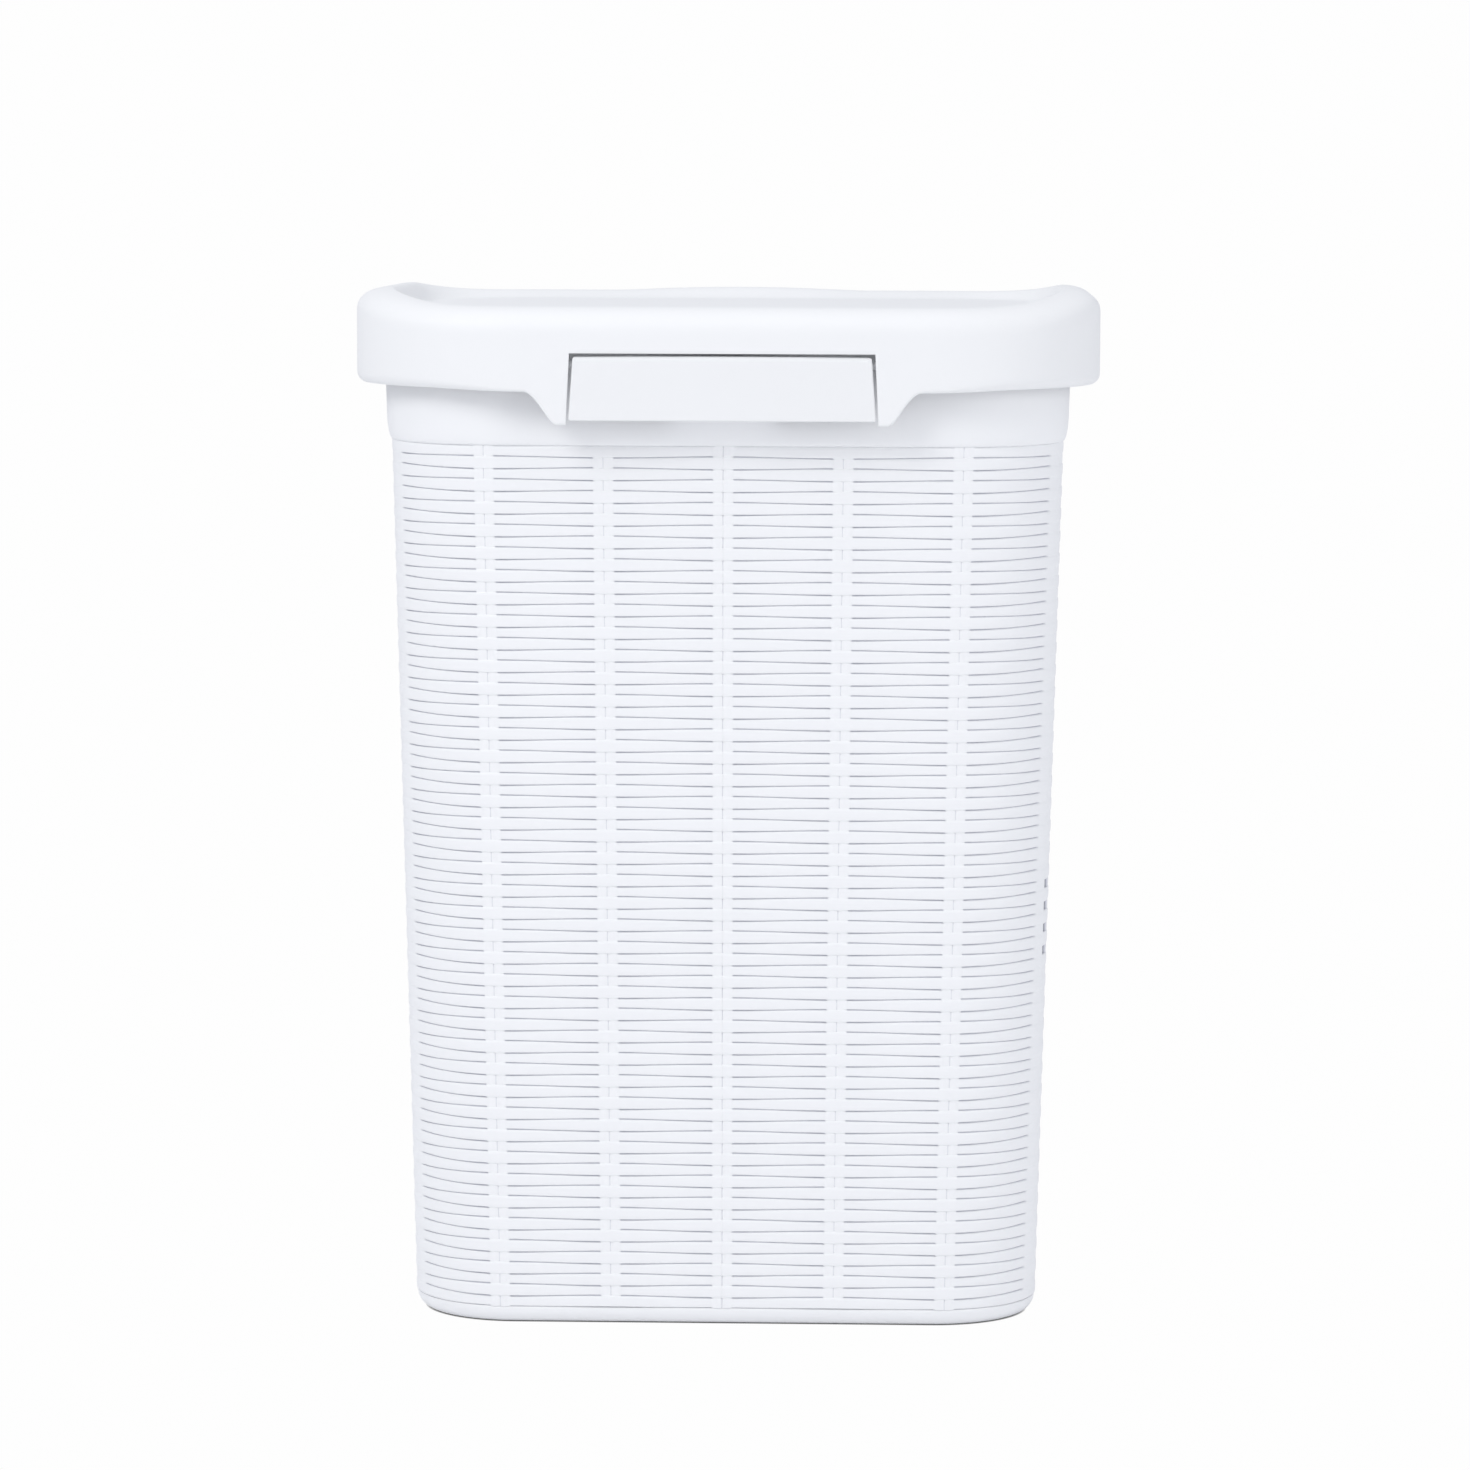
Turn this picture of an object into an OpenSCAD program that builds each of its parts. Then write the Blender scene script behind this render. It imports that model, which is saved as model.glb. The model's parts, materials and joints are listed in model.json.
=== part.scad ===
// Laundry hamper: a tapered tub with a basket-weave wall, a hinged lid with a
// shallow dished top, and a swinging front latch hung between the lid's two ears.
// Millimetres, +Z up, -Y is the front, origin at the centre of the foot on the floor.

/* [Tub] */
// Width of the weave at the floor
foot_w = 366; // [330:1:400]
// Depth of the weave at the floor
foot_d = 274; // [240:1:310]
// Corner radius of the weave at the floor
foot_r = 61; // [45:1:70]
// Width of the weave at its top
top_w = 392; // [360:1:430]
// Depth of the weave at its top
top_d = 300; // [270:1:330]
// Corner radius of the weave at its top
top_r = 70; // [55:1:80]
// Height of the top of the weave above the ground
weave_top = 515; // [420:1:600]
// Thickness of the woven wall
wall_t = 2.2; // [2:0.1:3.5]
// Height of the plain band round the foot
foot_h = 10; // [8:0.5:20]
// Thickness of the plain band round the foot
foot_t = 4; // [3:0.1:5]
// Thickness of the floor plate
floor_t = 2.6; // [2:0.1:4]
// Gap between the floor plate and the ground
floor_gap = 4; // [2:0.5:5]

/* [Neck] */
// Height of the smooth neck above the weave, up to the rim flange
neck_h = 62; // [58:1:80]
// Thickness of the neck
neck_t = 2.6; // [2:0.1:4]
// How far the neck's rounded lower edge stands proud of the weave
neck_proud = 3.3; // [2:0.1:5]
// How much further out the neck is at its top
neck_flare = 1.3; // [0:0.1:2]
// Thickness of the tub's rim flange
rim_t = 4; // [3:0.5:5]
// How far the rim flange stands out from the neck
rim_out = 3; // [2:0.1:4]
// How far the rim's outer lip hangs down below the flange
lip_drop = 6; // [3:0.5:8]

/* [Lid] */
// How far the lid stands out past the top of the weave, on every side
lid_over = 21.3; // [20:0.1:26]
// Corner radius of the lid
lid_r = 100; // [90:1:110]
// Wall thickness of the lid
lid_t = 2.5; // [2:0.1:3]
// How far the skirt hangs down below the top of the tub's rim
skirt_drop = 34; // [30:1:38]
// How far the crest of the lid's edge rises above the top of the tub's rim
crest_rise = 17; // [15:0.5:20]
// Width of the rounded shoulder outside the crest
shoulder_w = 20; // [18:0.5:22]
// Height of the rounded shoulder outside the crest
shoulder_h = 18; // [14:0.5:20]
// Width of the slope from the crest down into the dish
slope_w = 18; // [14:0.5:24]
// Depth of the dish below the crest
dish_depth = 9.5; // [6:0.5:10]
// Thickness of the seat rib that rests on the tub's rim
seat_t = 2.5; // [2:0.1:3]
// Clearance between the seat rib and the tub's rim when the lid is shut
seat_gap = 0.3; // [0.2:0.1:1]
// Least clearance between the lid's corners and the corners of the tub's rim
corner_gap = 1.5; // [1:0.1:3]

/* [Ears and latch] */
// How far the two ears hang down below the skirt
ear_drop = 19; // [15:0.5:22]
// Width of each ear's flat lower end
ear_flat = 6; // [4:0.5:10]
// Width of each ear's curved outer side
ear_curve = 19; // [14:0.5:26]
// Width of the latch plate at its lower edge
latch_w = 175.6; // [140:1:200]
// How much narrower the latch plate is at its upper edge
latch_taper = 5; // [0:0.5:10]
// Height of the latch plate
latch_h = 36.5; // [33:0.5:38]
// Thickness of the latch plate
latch_t = 3; // [2.5:0.1:3.5]
// Radius of the latch plate's upper front edge
latch_round = 2.5; // [1:0.1:3]
// How far the ears reach below the latch plate
ear_below_latch = 2.5; // [1:0.5:5]
// Clearance at the side of the latch plate's lower corners
latch_side_gap = 1.4; // [1:0.1:3]
// Extra side clearance at the latch plate's upper corners
latch_side_taper = 0.6; // [0:0.1:2]
// Clearance above the latch plate
latch_top_gap = 2; // [2:0.1:4]
// Width of the latch's catch rib
catch_w = 60; // [30:1:80]
// Clearance between the catch rib and the bead on the neck
catch_gap = 0.4; // [0.3:0.1:1]
// Radius of the latch's pivot studs
stud_r = 2.5; // [2:0.1:3]
// Width of the two lugs that carry the latch's pivot studs
lug_w = 6; // [4:0.5:8]

/* [Hinge] */
// Radius of the hinge knuckles
knuckle_r = 7; // [6:0.5:9]
// Radius of the hinge pin
pin_r = 2.5; // [2:0.1:3.5]
// Overall width of the hinge
hinge_w = 120; // [90:1:160]
// Width of each hinge bracket on the tub
bracket_w = 18; // [12:0.5:24]
// Height of the hinge axis above the lower edge of the skirt
hinge_rise = 9; // [8:0.5:12]
// Clearance between the hinge knuckles and the lid's skirt
hinge_gap = 2; // [1.5:0.1:3]
// Side clearance between the lid's knuckle and each bracket
knuckle_gap = 0.4; // [0.3:0.1:1]
// Radial clearance of a stud or pin in the hole that it turns in
turn_gap = 0.05; // [0.02:0.01:0.1]

/* [Hidden] */
$fn = 64;

white = [0.93, 0.94, 0.96];
pale = [0.85, 0.87, 0.91];
grey = [0.72, 0.75, 0.80];

// Flat steps round one corner of the woven wall
corner_steps = 14;

// Heights of the stacked pieces
neck_top = weave_top + neck_h;
rim_top = neck_top + rim_t;
skirt_z = rim_top - skirt_drop;
crest_z = rim_top + crest_rise;
shoulder_z = crest_z - shoulder_h;
dish_z = crest_z - dish_depth;
ear_z = skirt_z - ear_drop;
latch_z = ear_z + ear_below_latch;
latch_top = latch_z + latch_h;
notch_top = latch_top + latch_top_gap;

// Corner centres and the outside of the neck, which is measured out from them
neck_cx = top_w / 2 - top_r;
neck_cy = top_d / 2 - top_r;
neck_edge = 5;
neck_low_r = top_r + neck_proud;
neck_top_r = neck_low_r + neck_flare;
rim_r = neck_top_r + rim_out;
function neck_out(z) = neck_low_r
    + neck_flare * (z - weave_top - neck_edge) / (neck_h - neck_edge);

// The lid grows by what its corners need, when they are so round that they near the rim
corner_clear = lid_r - lid_t - rim_r - sqrt(2) * (lid_r - top_r - lid_over);
lid_grow = max(0, (corner_gap - corner_clear) / sqrt(2));

// The lid's half sizes and corner centres, and the seat rib over the middle of the rim
lid_hw = top_w / 2 + lid_over + lid_grow;
lid_hd = top_d / 2 + lid_over + lid_grow;
lid_cx = lid_hw - lid_r;
lid_cy = lid_hd - lid_r;
seat_out = neck_cy + rim_r - lid_cy;

// The skirt's and the ears' sections, measured out from the lid's corner centres
function band(low, high) = [[lid_r - lid_t, low], [lid_r, low],
                            [lid_r, high], [lid_r - lid_t, high]];
skirt_band = band(skirt_z, shoulder_z);
ear_band = band(ear_z, skirt_z);

// The latch's pivot axis, behind the skirt
skirt_in_y = -(lid_hd - lid_t);
lug_y = skirt_in_y + 2 * stud_r + 3;
pivot_y = skirt_in_y + stud_r + 1.6;
pivot_z = latch_top - stud_r - 2;
latch_back_y = -(lid_hd - latch_t);

// Half widths of the latch and of the notch it sits in
latch_low = latch_w / 2;
latch_high = latch_low - latch_taper / 2;
notch_low = latch_low + latch_side_gap;
notch_high = latch_high + latch_side_gap + latch_side_taper;
lug_x = notch_low + 1.5;
web_t = 3;
web_x = latch_high - web_t - 0.5;

// The catch: a bead on the neck and a rib on the latch that faces it
catch_z = latch_z + 1;
catch_t = 3;
bead_out = 3;

// The lid's hinge axis, behind the skirt
hinge_y = lid_hd + hinge_gap + knuckle_r;
hinge_z = skirt_z + hinge_rise;
knuckle_hw = hinge_w / 2 - bracket_w - knuckle_gap;

// ---- shared shapes ----

function arc(cx, cy, rx, ry, from, to, steps) =
    [for (i = [0:steps]) let (a = from + (to - from) * i / steps)
        [cx + rx * cos(a), cy + ry * sin(a)]];

// The woven wall's half width, half depth and corner radius at a height
function blend(low, high, z) = low + (high - low) * z / weave_top;
function wall_hw(z) = blend(foot_w, top_w, z) / 2;
function wall_hd(z) = blend(foot_d, top_d, z) / 2;
function wall_r(z) = blend(foot_r, top_r, z);

// A rounded rectangle
module rounded(w, d, r) {
    square([w - 2 * r, d], center = true);
    square([w, d - 2 * r], center = true);
    for (x = [-1, 1], y = [-1, 1])
        translate([x * (w / 2 - r), y * (d / 2 - r)]) circle(r);
}

// A straight run of a profile of [distance out, height], facing -Y
module run(length, profile)
    rotate([90, 0, -90])
        linear_extrude(length, center = true) polygon(profile);

// The same profile turned through a quarter round the corner centre at (cx, cy)
module bend(cx, cy, profile)
    translate([cx, cy, 0]) rotate_extrude(angle = 90) polygon(profile);

// The same profile carried all round
module ring(cx, cy, profile) {
    for (turn = [0, 180]) rotate([0, 0, turn]) {
        translate([0, -cy, 0]) run(2 * cx, profile);
        rotate([0, 0, 90]) translate([0, -cx, 0]) run(2 * cy, profile);
        bend(cx, cy, profile);
        mirror([1, 0, 0]) bend(cx, cy, profile);
    }
}

// A leaning flat panel of the woven wall, facing -Y; half width and face by height
module panel(hx_low, hx_high, y_low, y_high) {
    levels = [[foot_h, hx_low, y_low], [weave_top, hx_high, y_high]];
    polyhedron(
        points = [for (l = levels, y = [l[2], l[2] - wall_t], s = [-1, 1])
            [s * l[1], -y, l[0]]],
        faces = [[0, 1, 3, 2], [4, 6, 7, 5], [0, 4, 5, 1],
                 [2, 3, 7, 6], [0, 2, 6, 4], [1, 5, 7, 3]]
    );
}

// A leaning quarter-round corner of the woven wall, at +X +Y
module corner() {
    n = corner_steps;
    points = [for (z = [foot_h, weave_top], inset = [0, wall_t], i = [0:n])
        let (r = wall_r(z), a = 90 * i / n)
            [wall_hw(z) - r + (r - inset) * cos(a),
             wall_hd(z) - r + (r - inset) * sin(a), z]];
    low_out = 0;
    low_in = n + 1;
    high_out = 2 * (n + 1);
    high_in = 3 * (n + 1);
    polyhedron(
        points = points,
        faces = concat(
            [for (i = [0:n - 1])
                [low_out + i, high_out + i, high_out + i + 1, low_out + i + 1]],
            [for (i = [0:n - 1])
                [low_in + i, low_in + i + 1, high_in + i + 1, high_in + i]],
            [for (i = [0:n - 1])
                [low_out + i, low_out + i + 1, low_in + i + 1, low_in + i]],
            [for (i = [0:n - 1])
                [high_out + i, high_in + i, high_in + i + 1, high_out + i + 1]],
            [[low_out, low_in, high_in, high_out],
             [low_out + n, high_out + n, high_in + n, low_in + n]]
        )
    );
}

// ---- tub ----

// Flat floor plate, held inside the foot band
module floor()
    color(pale) translate([0, 0, floor_gap]) linear_extrude(floor_t)
        rounded(foot_w - 2 * foot_t, foot_d - 2 * foot_t, foot_r - foot_t);

// Plain band round the foot, which the tub stands on
module foot_band()
    color(white) linear_extrude(foot_h) difference() {
        rounded(foot_w, foot_d, foot_r);
        rounded(foot_w - 2 * foot_t, foot_d - 2 * foot_t, foot_r - foot_t);
    }

module wall_front()
    color(white) panel(
        wall_hw(foot_h) - wall_r(foot_h), neck_cx, wall_hd(foot_h), wall_hd(weave_top));
module wall_back() rotate([0, 0, 180]) wall_front();
module wall_left()
    color(white) rotate([0, 0, -90]) panel(
        wall_hd(foot_h) - wall_r(foot_h), neck_cy, wall_hw(foot_h), wall_hw(weave_top));
module wall_right() rotate([0, 0, 180]) wall_left();

module corner_back_right() color(pale) corner();
module corner_front_left() rotate([0, 0, 180]) corner_back_right();
module corner_back_left() mirror([1, 0, 0]) corner_back_right();
module corner_front_right() mirror([0, 1, 0]) corner_back_right();

// Smooth neck, with a rounded lower edge proud of the weave
module neck_band() {
    low = weave_top;
    edge = arc(top_r, low + neck_edge, neck_proud, neck_edge, -90, 0, 6);
    outside = concat(edge, [[neck_top_r, neck_top]]);
    inside = [
        [neck_top_r - neck_t, neck_top],
        [neck_low_r - neck_t, low + neck_edge + neck_t],
        [top_r - wall_t, low]
    ];
    color(white) ring(neck_cx, neck_cy, concat(outside, inside));
}

// Rim flange round the mouth, with a short lip turned down outside
module tub_rim() {
    out = rim_r;
    lip = out - 2;
    color(pale) ring(neck_cx, neck_cy, [
        [neck_top_r - neck_t, neck_top], [lip, neck_top], [lip, neck_top - lip_drop],
        [out, neck_top - lip_drop], [out, rim_top], [neck_top_r - neck_t, rim_top]
    ]);
}

// Bead on the neck that the latch's catch rib faces
module catch_bead()
    color(pale) translate([0, -neck_cy, 0]) run(catch_w, [
        [neck_out(catch_z - 1), catch_z - 1],
        [neck_out(catch_z) + bead_out, catch_z],
        [neck_out(catch_z) + bead_out, catch_z + catch_t],
        [neck_out(catch_z + catch_t + 3), catch_z + catch_t + 3]
    ]);

// One hinge bracket: a gusset off the neck, an arm and a bored knuckle
module hinge_bracket() {
    foot_top = skirt_z - 5;
    foot_low = foot_top - 18;
    run_back = [
        [neck_cy + neck_out(foot_low), foot_low],
        [hinge_y + knuckle_r, foot_top - 6],
        [hinge_y + knuckle_r, hinge_z],
        [hinge_y - knuckle_r, hinge_z],
        [hinge_y - knuckle_r, foot_top],
        [neck_cy + neck_out(foot_top), foot_top]
    ];
    color(grey) rotate([90, 0, 90]) linear_extrude(bracket_w) difference() {
        union() {
            polygon(run_back);
            translate([hinge_y, hinge_z]) circle(knuckle_r);
        }
        translate([hinge_y, hinge_z]) circle(pin_r);
    }
}

module hinge_bracket_left() translate([-hinge_w / 2, 0, 0]) hinge_bracket();
module hinge_bracket_right() translate([hinge_w / 2 - bracket_w, 0, 0]) hinge_bracket();

// Hinge pin, tight in the brackets and free in the lid's knuckle
module hinge_pin()
    color(grey) translate([0, hinge_y, hinge_z])
        rotate([0, 90, 0]) cylinder(h = hinge_w, r = pin_r, center = true);

// ---- lid ----

// Flat bottom of the dish
module lid_panel() {
    inset = shoulder_w + slope_w;
    color(pale) translate([0, 0, dish_z - lid_t]) linear_extrude(lid_t)
        rounded(2 * (lid_hw - inset), 2 * (lid_hd - inset), lid_r - inset);
}

// Rounded edge of the lid, from the skirt over the crest down into the dish
module lid_rim() {
    crest = lid_r - shoulder_w;
    dish = crest - slope_w;
    seat_z = crest_z - lid_t - 1.5;
    outside = concat(
        arc(crest, shoulder_z, shoulder_w, shoulder_h, 0, 90, 10),
        [for (i = [1:6]) let (t = i / 6)
            [crest - slope_w * t, crest_z - dish_depth * (1 - cos(180 * t)) / 2]]
    );
    inside = [
        [dish, dish_z - lid_t], [crest - slope_w / 2, seat_z - dish_depth / 2],
        [crest - slope_w / 4, seat_z], [seat_out + 1, seat_z],
        [lid_r - lid_t - 4, shoulder_z + shoulder_h / 2], [lid_r - lid_t, shoulder_z]
    ];
    color(white) ring(lid_cx, lid_cy, concat(outside, inside));
}

// Front of the skirt, with the latch's notch and an ear hanging down on each side
module skirt_front() {
    notch = [
        [notch_high, notch_top], [-notch_high, notch_top],
        [-notch_low, latch_z], [-notch_low, ear_z - 1],
        [notch_low, ear_z - 1], [notch_low, latch_z]
    ];
    ear_end = notch_low + ear_flat;
    ear = concat(
        [[notch_low, skirt_z], [notch_low, ear_z]],
        [for (i = [0:8]) let (t = i / 8)
            [ear_end + ear_curve * t, ear_z + ear_drop * (1 - cos(180 * t)) / 2]]
    );
    color(white) {
        difference() {
            translate([0, -lid_cy, 0]) run(2 * lid_cx, skirt_band);
            translate([0, -lid_hd + 2 * lid_t, 0]) rotate([90, 0, 0])
                linear_extrude(4 * lid_t) polygon(notch);
        }
        for (side = [0, 1]) mirror([side, 0, 0]) intersection() {
            union() {
                translate([0, -lid_cy, 0]) run(2 * lid_cx, ear_band);
                mirror([0, 1, 0]) bend(lid_cx, lid_cy, ear_band);
            }
            rotate([90, 0, 0]) linear_extrude(lid_hd + 1) polygon(ear);
        }
    }
}

module skirt_back()
    color(white) rotate([0, 0, 180]) translate([0, -lid_cy, 0]) run(2 * lid_cx, skirt_band);
module skirt_right()
    color(white) rotate([0, 0, 90]) translate([0, -lid_cx, 0]) run(2 * lid_cy, skirt_band);
module skirt_left() rotate([0, 0, 180]) skirt_right();

module skirt_back_right() color(pale) bend(lid_cx, lid_cy, skirt_band);
module skirt_front_left() rotate([0, 0, 180]) skirt_back_right();
module skirt_back_left() mirror([1, 0, 0]) skirt_back_right();
module skirt_front_right() mirror([0, 1, 0]) skirt_back_right();

// Rib under the lid that rests on the tub's rim
module seat_rib() {
    out = seat_out;
    low = rim_top + seat_gap;
    high = crest_z - lid_t - 1.5;
    color(pale) ring(lid_cx, lid_cy, [
        [out - seat_t, low], [out, low], [out, high], [out - seat_t, high]
    ]);
}

// Hinge knuckle on the back of the skirt, between the tub's brackets
module lid_knuckle()
    color(grey) rotate([90, 0, 90])
        linear_extrude(2 * knuckle_hw, center = true) difference() {
            union() {
                translate([lid_hd, hinge_z - knuckle_r])
                    square([hinge_gap + knuckle_r, 2 * knuckle_r]);
                translate([hinge_y, hinge_z]) circle(knuckle_r);
            }
            translate([hinge_y, hinge_z]) circle(pin_r + turn_gap);
        }

// Bored lug inside the skirt that carries one of the latch's pivot studs
module latch_lug()
    color(grey) translate([lug_x, 0, 0]) rotate([90, 0, 90])
        linear_extrude(lug_w) difference() {
            translate([skirt_in_y, pivot_z - 8]) square([lug_y - skirt_in_y, 14]);
            translate([pivot_y, pivot_z]) circle(stud_r + turn_gap);
        }

module latch_lug_right() latch_lug();
module latch_lug_left() mirror([1, 0, 0]) latch_lug();

// ---- latch ----

// Front plate, a little narrower at its top, with a rounded upper front edge
module latch_plate() {
    face = [[-latch_low, latch_z], [latch_low, latch_z],
            [latch_high, latch_top], [-latch_high, latch_top]];
    front = -lid_hd;
    section = concat(
        [[front, latch_z], [latch_back_y, latch_z], [latch_back_y, latch_top]],
        arc(front + latch_round, latch_top - latch_round,
            latch_round, latch_round, 90, 180, 8)
    );
    color(white) intersection() {
        rotate([90, 0, 0]) linear_extrude(lid_hd + 1) polygon(face);
        rotate([90, 0, 90]) linear_extrude(latch_w + 2, center = true) polygon(section);
    }
}

// Short rib behind the plate that clicks over the bead on the neck
module latch_catch() {
    tip_y = -(neck_cy + neck_out(catch_z) + bead_out + catch_gap);
    color(grey) translate([-catch_w / 2, latch_back_y, catch_z])
        cube([catch_w, tip_y - latch_back_y, catch_t]);
}

// Web behind one end of the plate, with the stud that turns in the lid's lug
module latch_pivot() {
    boss_r = stud_r + 1.8;
    color(grey) {
        translate([web_x, 0, 0]) rotate([90, 0, 90]) linear_extrude(web_t) difference() {
            union() {
                translate([latch_back_y, pivot_z - 12])
                    square([pivot_y - latch_back_y, 12 + boss_r]);
                translate([pivot_y, pivot_z]) circle(boss_r);
            }
            translate([latch_back_y - 10, pivot_z - 20]) square([10, 40]);
        }
        translate([web_x + web_t, pivot_y, pivot_z]) rotate([0, 90, 0])
            cylinder(h = lug_x + lug_w - 0.5 - web_x - web_t, r = stud_r);
    }
}

module latch_pivot_right() latch_pivot();
module latch_pivot_left() mirror([1, 0, 0]) latch_pivot();

floor();
foot_band();
wall_front();
wall_back();
wall_left();
wall_right();
corner_front_left();
corner_front_right();
corner_back_left();
corner_back_right();
neck_band();
tub_rim();
catch_bead();
hinge_bracket_left();
hinge_bracket_right();
hinge_pin();
lid_panel();
lid_rim();
skirt_front();
skirt_back();
skirt_left();
skirt_right();
skirt_front_left();
skirt_front_right();
skirt_back_left();
skirt_back_right();
seat_rib();
lid_knuckle();
latch_lug_left();
latch_lug_right();
latch_plate();
latch_catch();
latch_pivot_left();
latch_pivot_right();
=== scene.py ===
"""Looks of a laundry hamper: a basket-weave tub, a hinged dished lid and a swinging front latch.

Every piece is a surface worked out with numpy from two parameters, in metres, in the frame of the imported
model.
"""

import json

import bpy
import numpy as np
from bpy.props import FloatProperty, FloatVectorProperty, IntProperty, PointerProperty
from mathutils import Euler, Matrix, Vector


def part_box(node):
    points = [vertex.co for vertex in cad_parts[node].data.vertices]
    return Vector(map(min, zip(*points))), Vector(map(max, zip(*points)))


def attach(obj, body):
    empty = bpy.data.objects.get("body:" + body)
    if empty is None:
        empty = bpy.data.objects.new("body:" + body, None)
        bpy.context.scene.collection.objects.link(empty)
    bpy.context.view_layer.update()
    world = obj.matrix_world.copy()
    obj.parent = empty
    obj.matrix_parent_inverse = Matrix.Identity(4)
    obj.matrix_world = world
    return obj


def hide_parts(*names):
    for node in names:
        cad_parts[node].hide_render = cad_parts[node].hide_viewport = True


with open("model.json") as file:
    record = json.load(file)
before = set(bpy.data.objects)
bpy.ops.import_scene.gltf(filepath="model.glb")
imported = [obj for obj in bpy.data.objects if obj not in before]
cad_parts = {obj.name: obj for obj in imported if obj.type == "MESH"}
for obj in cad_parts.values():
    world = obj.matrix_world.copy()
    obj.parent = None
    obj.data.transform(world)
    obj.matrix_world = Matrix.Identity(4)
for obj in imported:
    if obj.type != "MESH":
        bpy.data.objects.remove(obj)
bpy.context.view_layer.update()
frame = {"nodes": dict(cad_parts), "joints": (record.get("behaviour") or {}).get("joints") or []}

bl_info = {
    "name": "Laundry Hamper",
    "version": (1, 0, 0),
    "blender": (4, 5, 0),
    "location": "View3D > Sidebar > Hamper",
    "description": "Builds the woven tub, the lid, the latch and the hinge of a laundry hamper, and a studio",
    "category": "Add Mesh",
}

MM = 0.001
TINY = 0.01 * MM  # slack for telling places on a surface apart
LOW, HIGH = 0, 1
X, Y, Z = 0, 1, 2


def edge(node, side, axis):
    """One face of a CAD node's box, in metres."""
    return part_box(node)[side][axis]


def joint(name):
    """Where a joint's axis passes, in metres."""
    return next(j["pos_m"] for j in frame["joints"] if j["name"] == name)


# ---------------------------------------------------------------- settings


def length(name, about, default):
    """A setting in metres."""
    return FloatProperty(name=name, description=about, default=default, unit="LENGTH", precision=5)


def degrees(name, about, amount):
    """A setting that is an angle, given in degrees and kept in radians."""
    default = float(np.radians(amount))
    return FloatProperty(name=name, description=about, default=default, subtype="ANGLE", precision=5)


def power(name, about, default):
    """A setting in watts."""
    return FloatProperty(name=name, description=about, default=default, unit="POWER")


def ratio(name, about, default, high=1.0):
    """A setting without a unit, from 0 up to its highest value."""
    return FloatProperty(name=name, description=about, default=default, min=0, max=high)


def colour(name, about, default):
    """A setting that is a colour."""
    return FloatVectorProperty(name=name, description=about, default=default, subtype="COLOR", min=0, max=1)


class HAMPER_PG_weave(bpy.types.PropertyGroup):
    strands: IntProperty(name="Strands", description="Rows of strands up the wall", default=77, min=4)
    front_pitch: length("Stake pitch", "Distance between the front stakes at the top", 69.1 * MM)
    foot_pitch: length("Foot stake pitch", "Distance between the front stakes at the floor", 64.8 * MM)
    corner_stake: ratio("Corner stake", "How far round the corner its stake stands", 0.824)
    corner_width: ratio("Corner width", "How many times wider a corner's stake is than the others", 2.3, 3.0)
    corner_lift: ratio("Corner lift", "What part of the lift is left at a corner's stake", 0.25)
    marks: IntProperty(name="Slots", description="Small slots in the right front corner's stake", default=4)
    marks_top: length("Slots' top", "Height of the uppermost slot's middle", 259 * MM)
    foot_radius: length("Foot radius", "Corner radius of the weave at the floor", 61 * MM)
    wall: length("Wall", "Thickness of the woven wall", 2.2 * MM)
    rod: length("Rod", "Width of one of a stake's two rods", 5.8 * MM)
    lift: length("Lift", "How far a strand stands out where it passes over a stake", 0.42 * MM)
    sway: length("Sway", "How far a strand's edge moves up or down at a stake", 0.45 * MM)
    groove: length("Groove", "Depth of the groove between two strands", 1.1 * MM)
    slit: length("Slit", "Depth of the slit between a stake's two rods", 0.8 * MM)
    roundness: length("Roundness", "How far a strand's upper edge is rounded back", 0.6 * MM)
    crown: length("Crown", "How far a strand's middle stands out past its edges", 0.14 * MM)


class HAMPER_PG_lid(bpy.types.PropertyGroup):
    wall: length("Wall", "Thickness of the lid", 2.5 * MM)
    crest_mid: length("Middle crest", "Height of the edge in the middle, before fall and hump", 594 * MM)
    crest_side: length("Side crest", "Height of the lid's edge at the sides", 601.5 * MM)
    fall: length("Fall", "Fall of the edge to the back and rise to the front, triple at the sides", 1 * MM)
    hump: length("Hump", "Extra height of the edge in the middle of the back", 2 * MM)
    dish: length("Dish", "Height of the dish's floor", 588.6 * MM)
    shoulder_w: length("Shoulder width", "Width of the rounded shoulder", 20 * MM)
    shoulder_h: length("Shoulder height", "Height of the rounded shoulder", 15 * MM)
    fullness: ratio("Fullness", "Below 1 makes the shoulder fuller", 0.9, 2.0)
    slope_w: length("Slope", "Width of the slope into the dish at the front and back", 20 * MM)
    side_slope_w: length("Side slope", "Width of the slope into the dish at the sides", 13 * MM)
    ear_flat: length("Ear flat", "Width of an ear's flat lower end", 6 * MM)
    ear_curve: length("Ear curve", "Width of an ear's curved outer side", 19 * MM)
    side_rise: length("Side rise", "How much higher the skirt's lower edge is at the sides", 1.4 * MM)
    curl: length("Curl", "Radius of the skirt's rounded lower edge at the front", 2 * MM)
    side_curl: length("Side curl", "Radius of the skirt's rounded lower edge at the corners", 6.5 * MM)


class HAMPER_PG_latch(bpy.types.PropertyGroup):
    taper: length("Taper", "How much narrower the plate is at its upper edge", 5 * MM)
    top_round: length("Upper edge", "Radius of the plate's upper front edge", 2.5 * MM)
    edge_round: length("Other edges", "Radius of the plate's other front edges", 0.9 * MM)
    corner: length("Corners", "Radius of the plate's corners", 1.6 * MM)
    bow: length("Bow", "How much higher the plate's upper edge is in its middle", 0.5 * MM)
    stud_r: length("Stud radius", "Radius of the pivot studs", 2.5 * MM)


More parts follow.
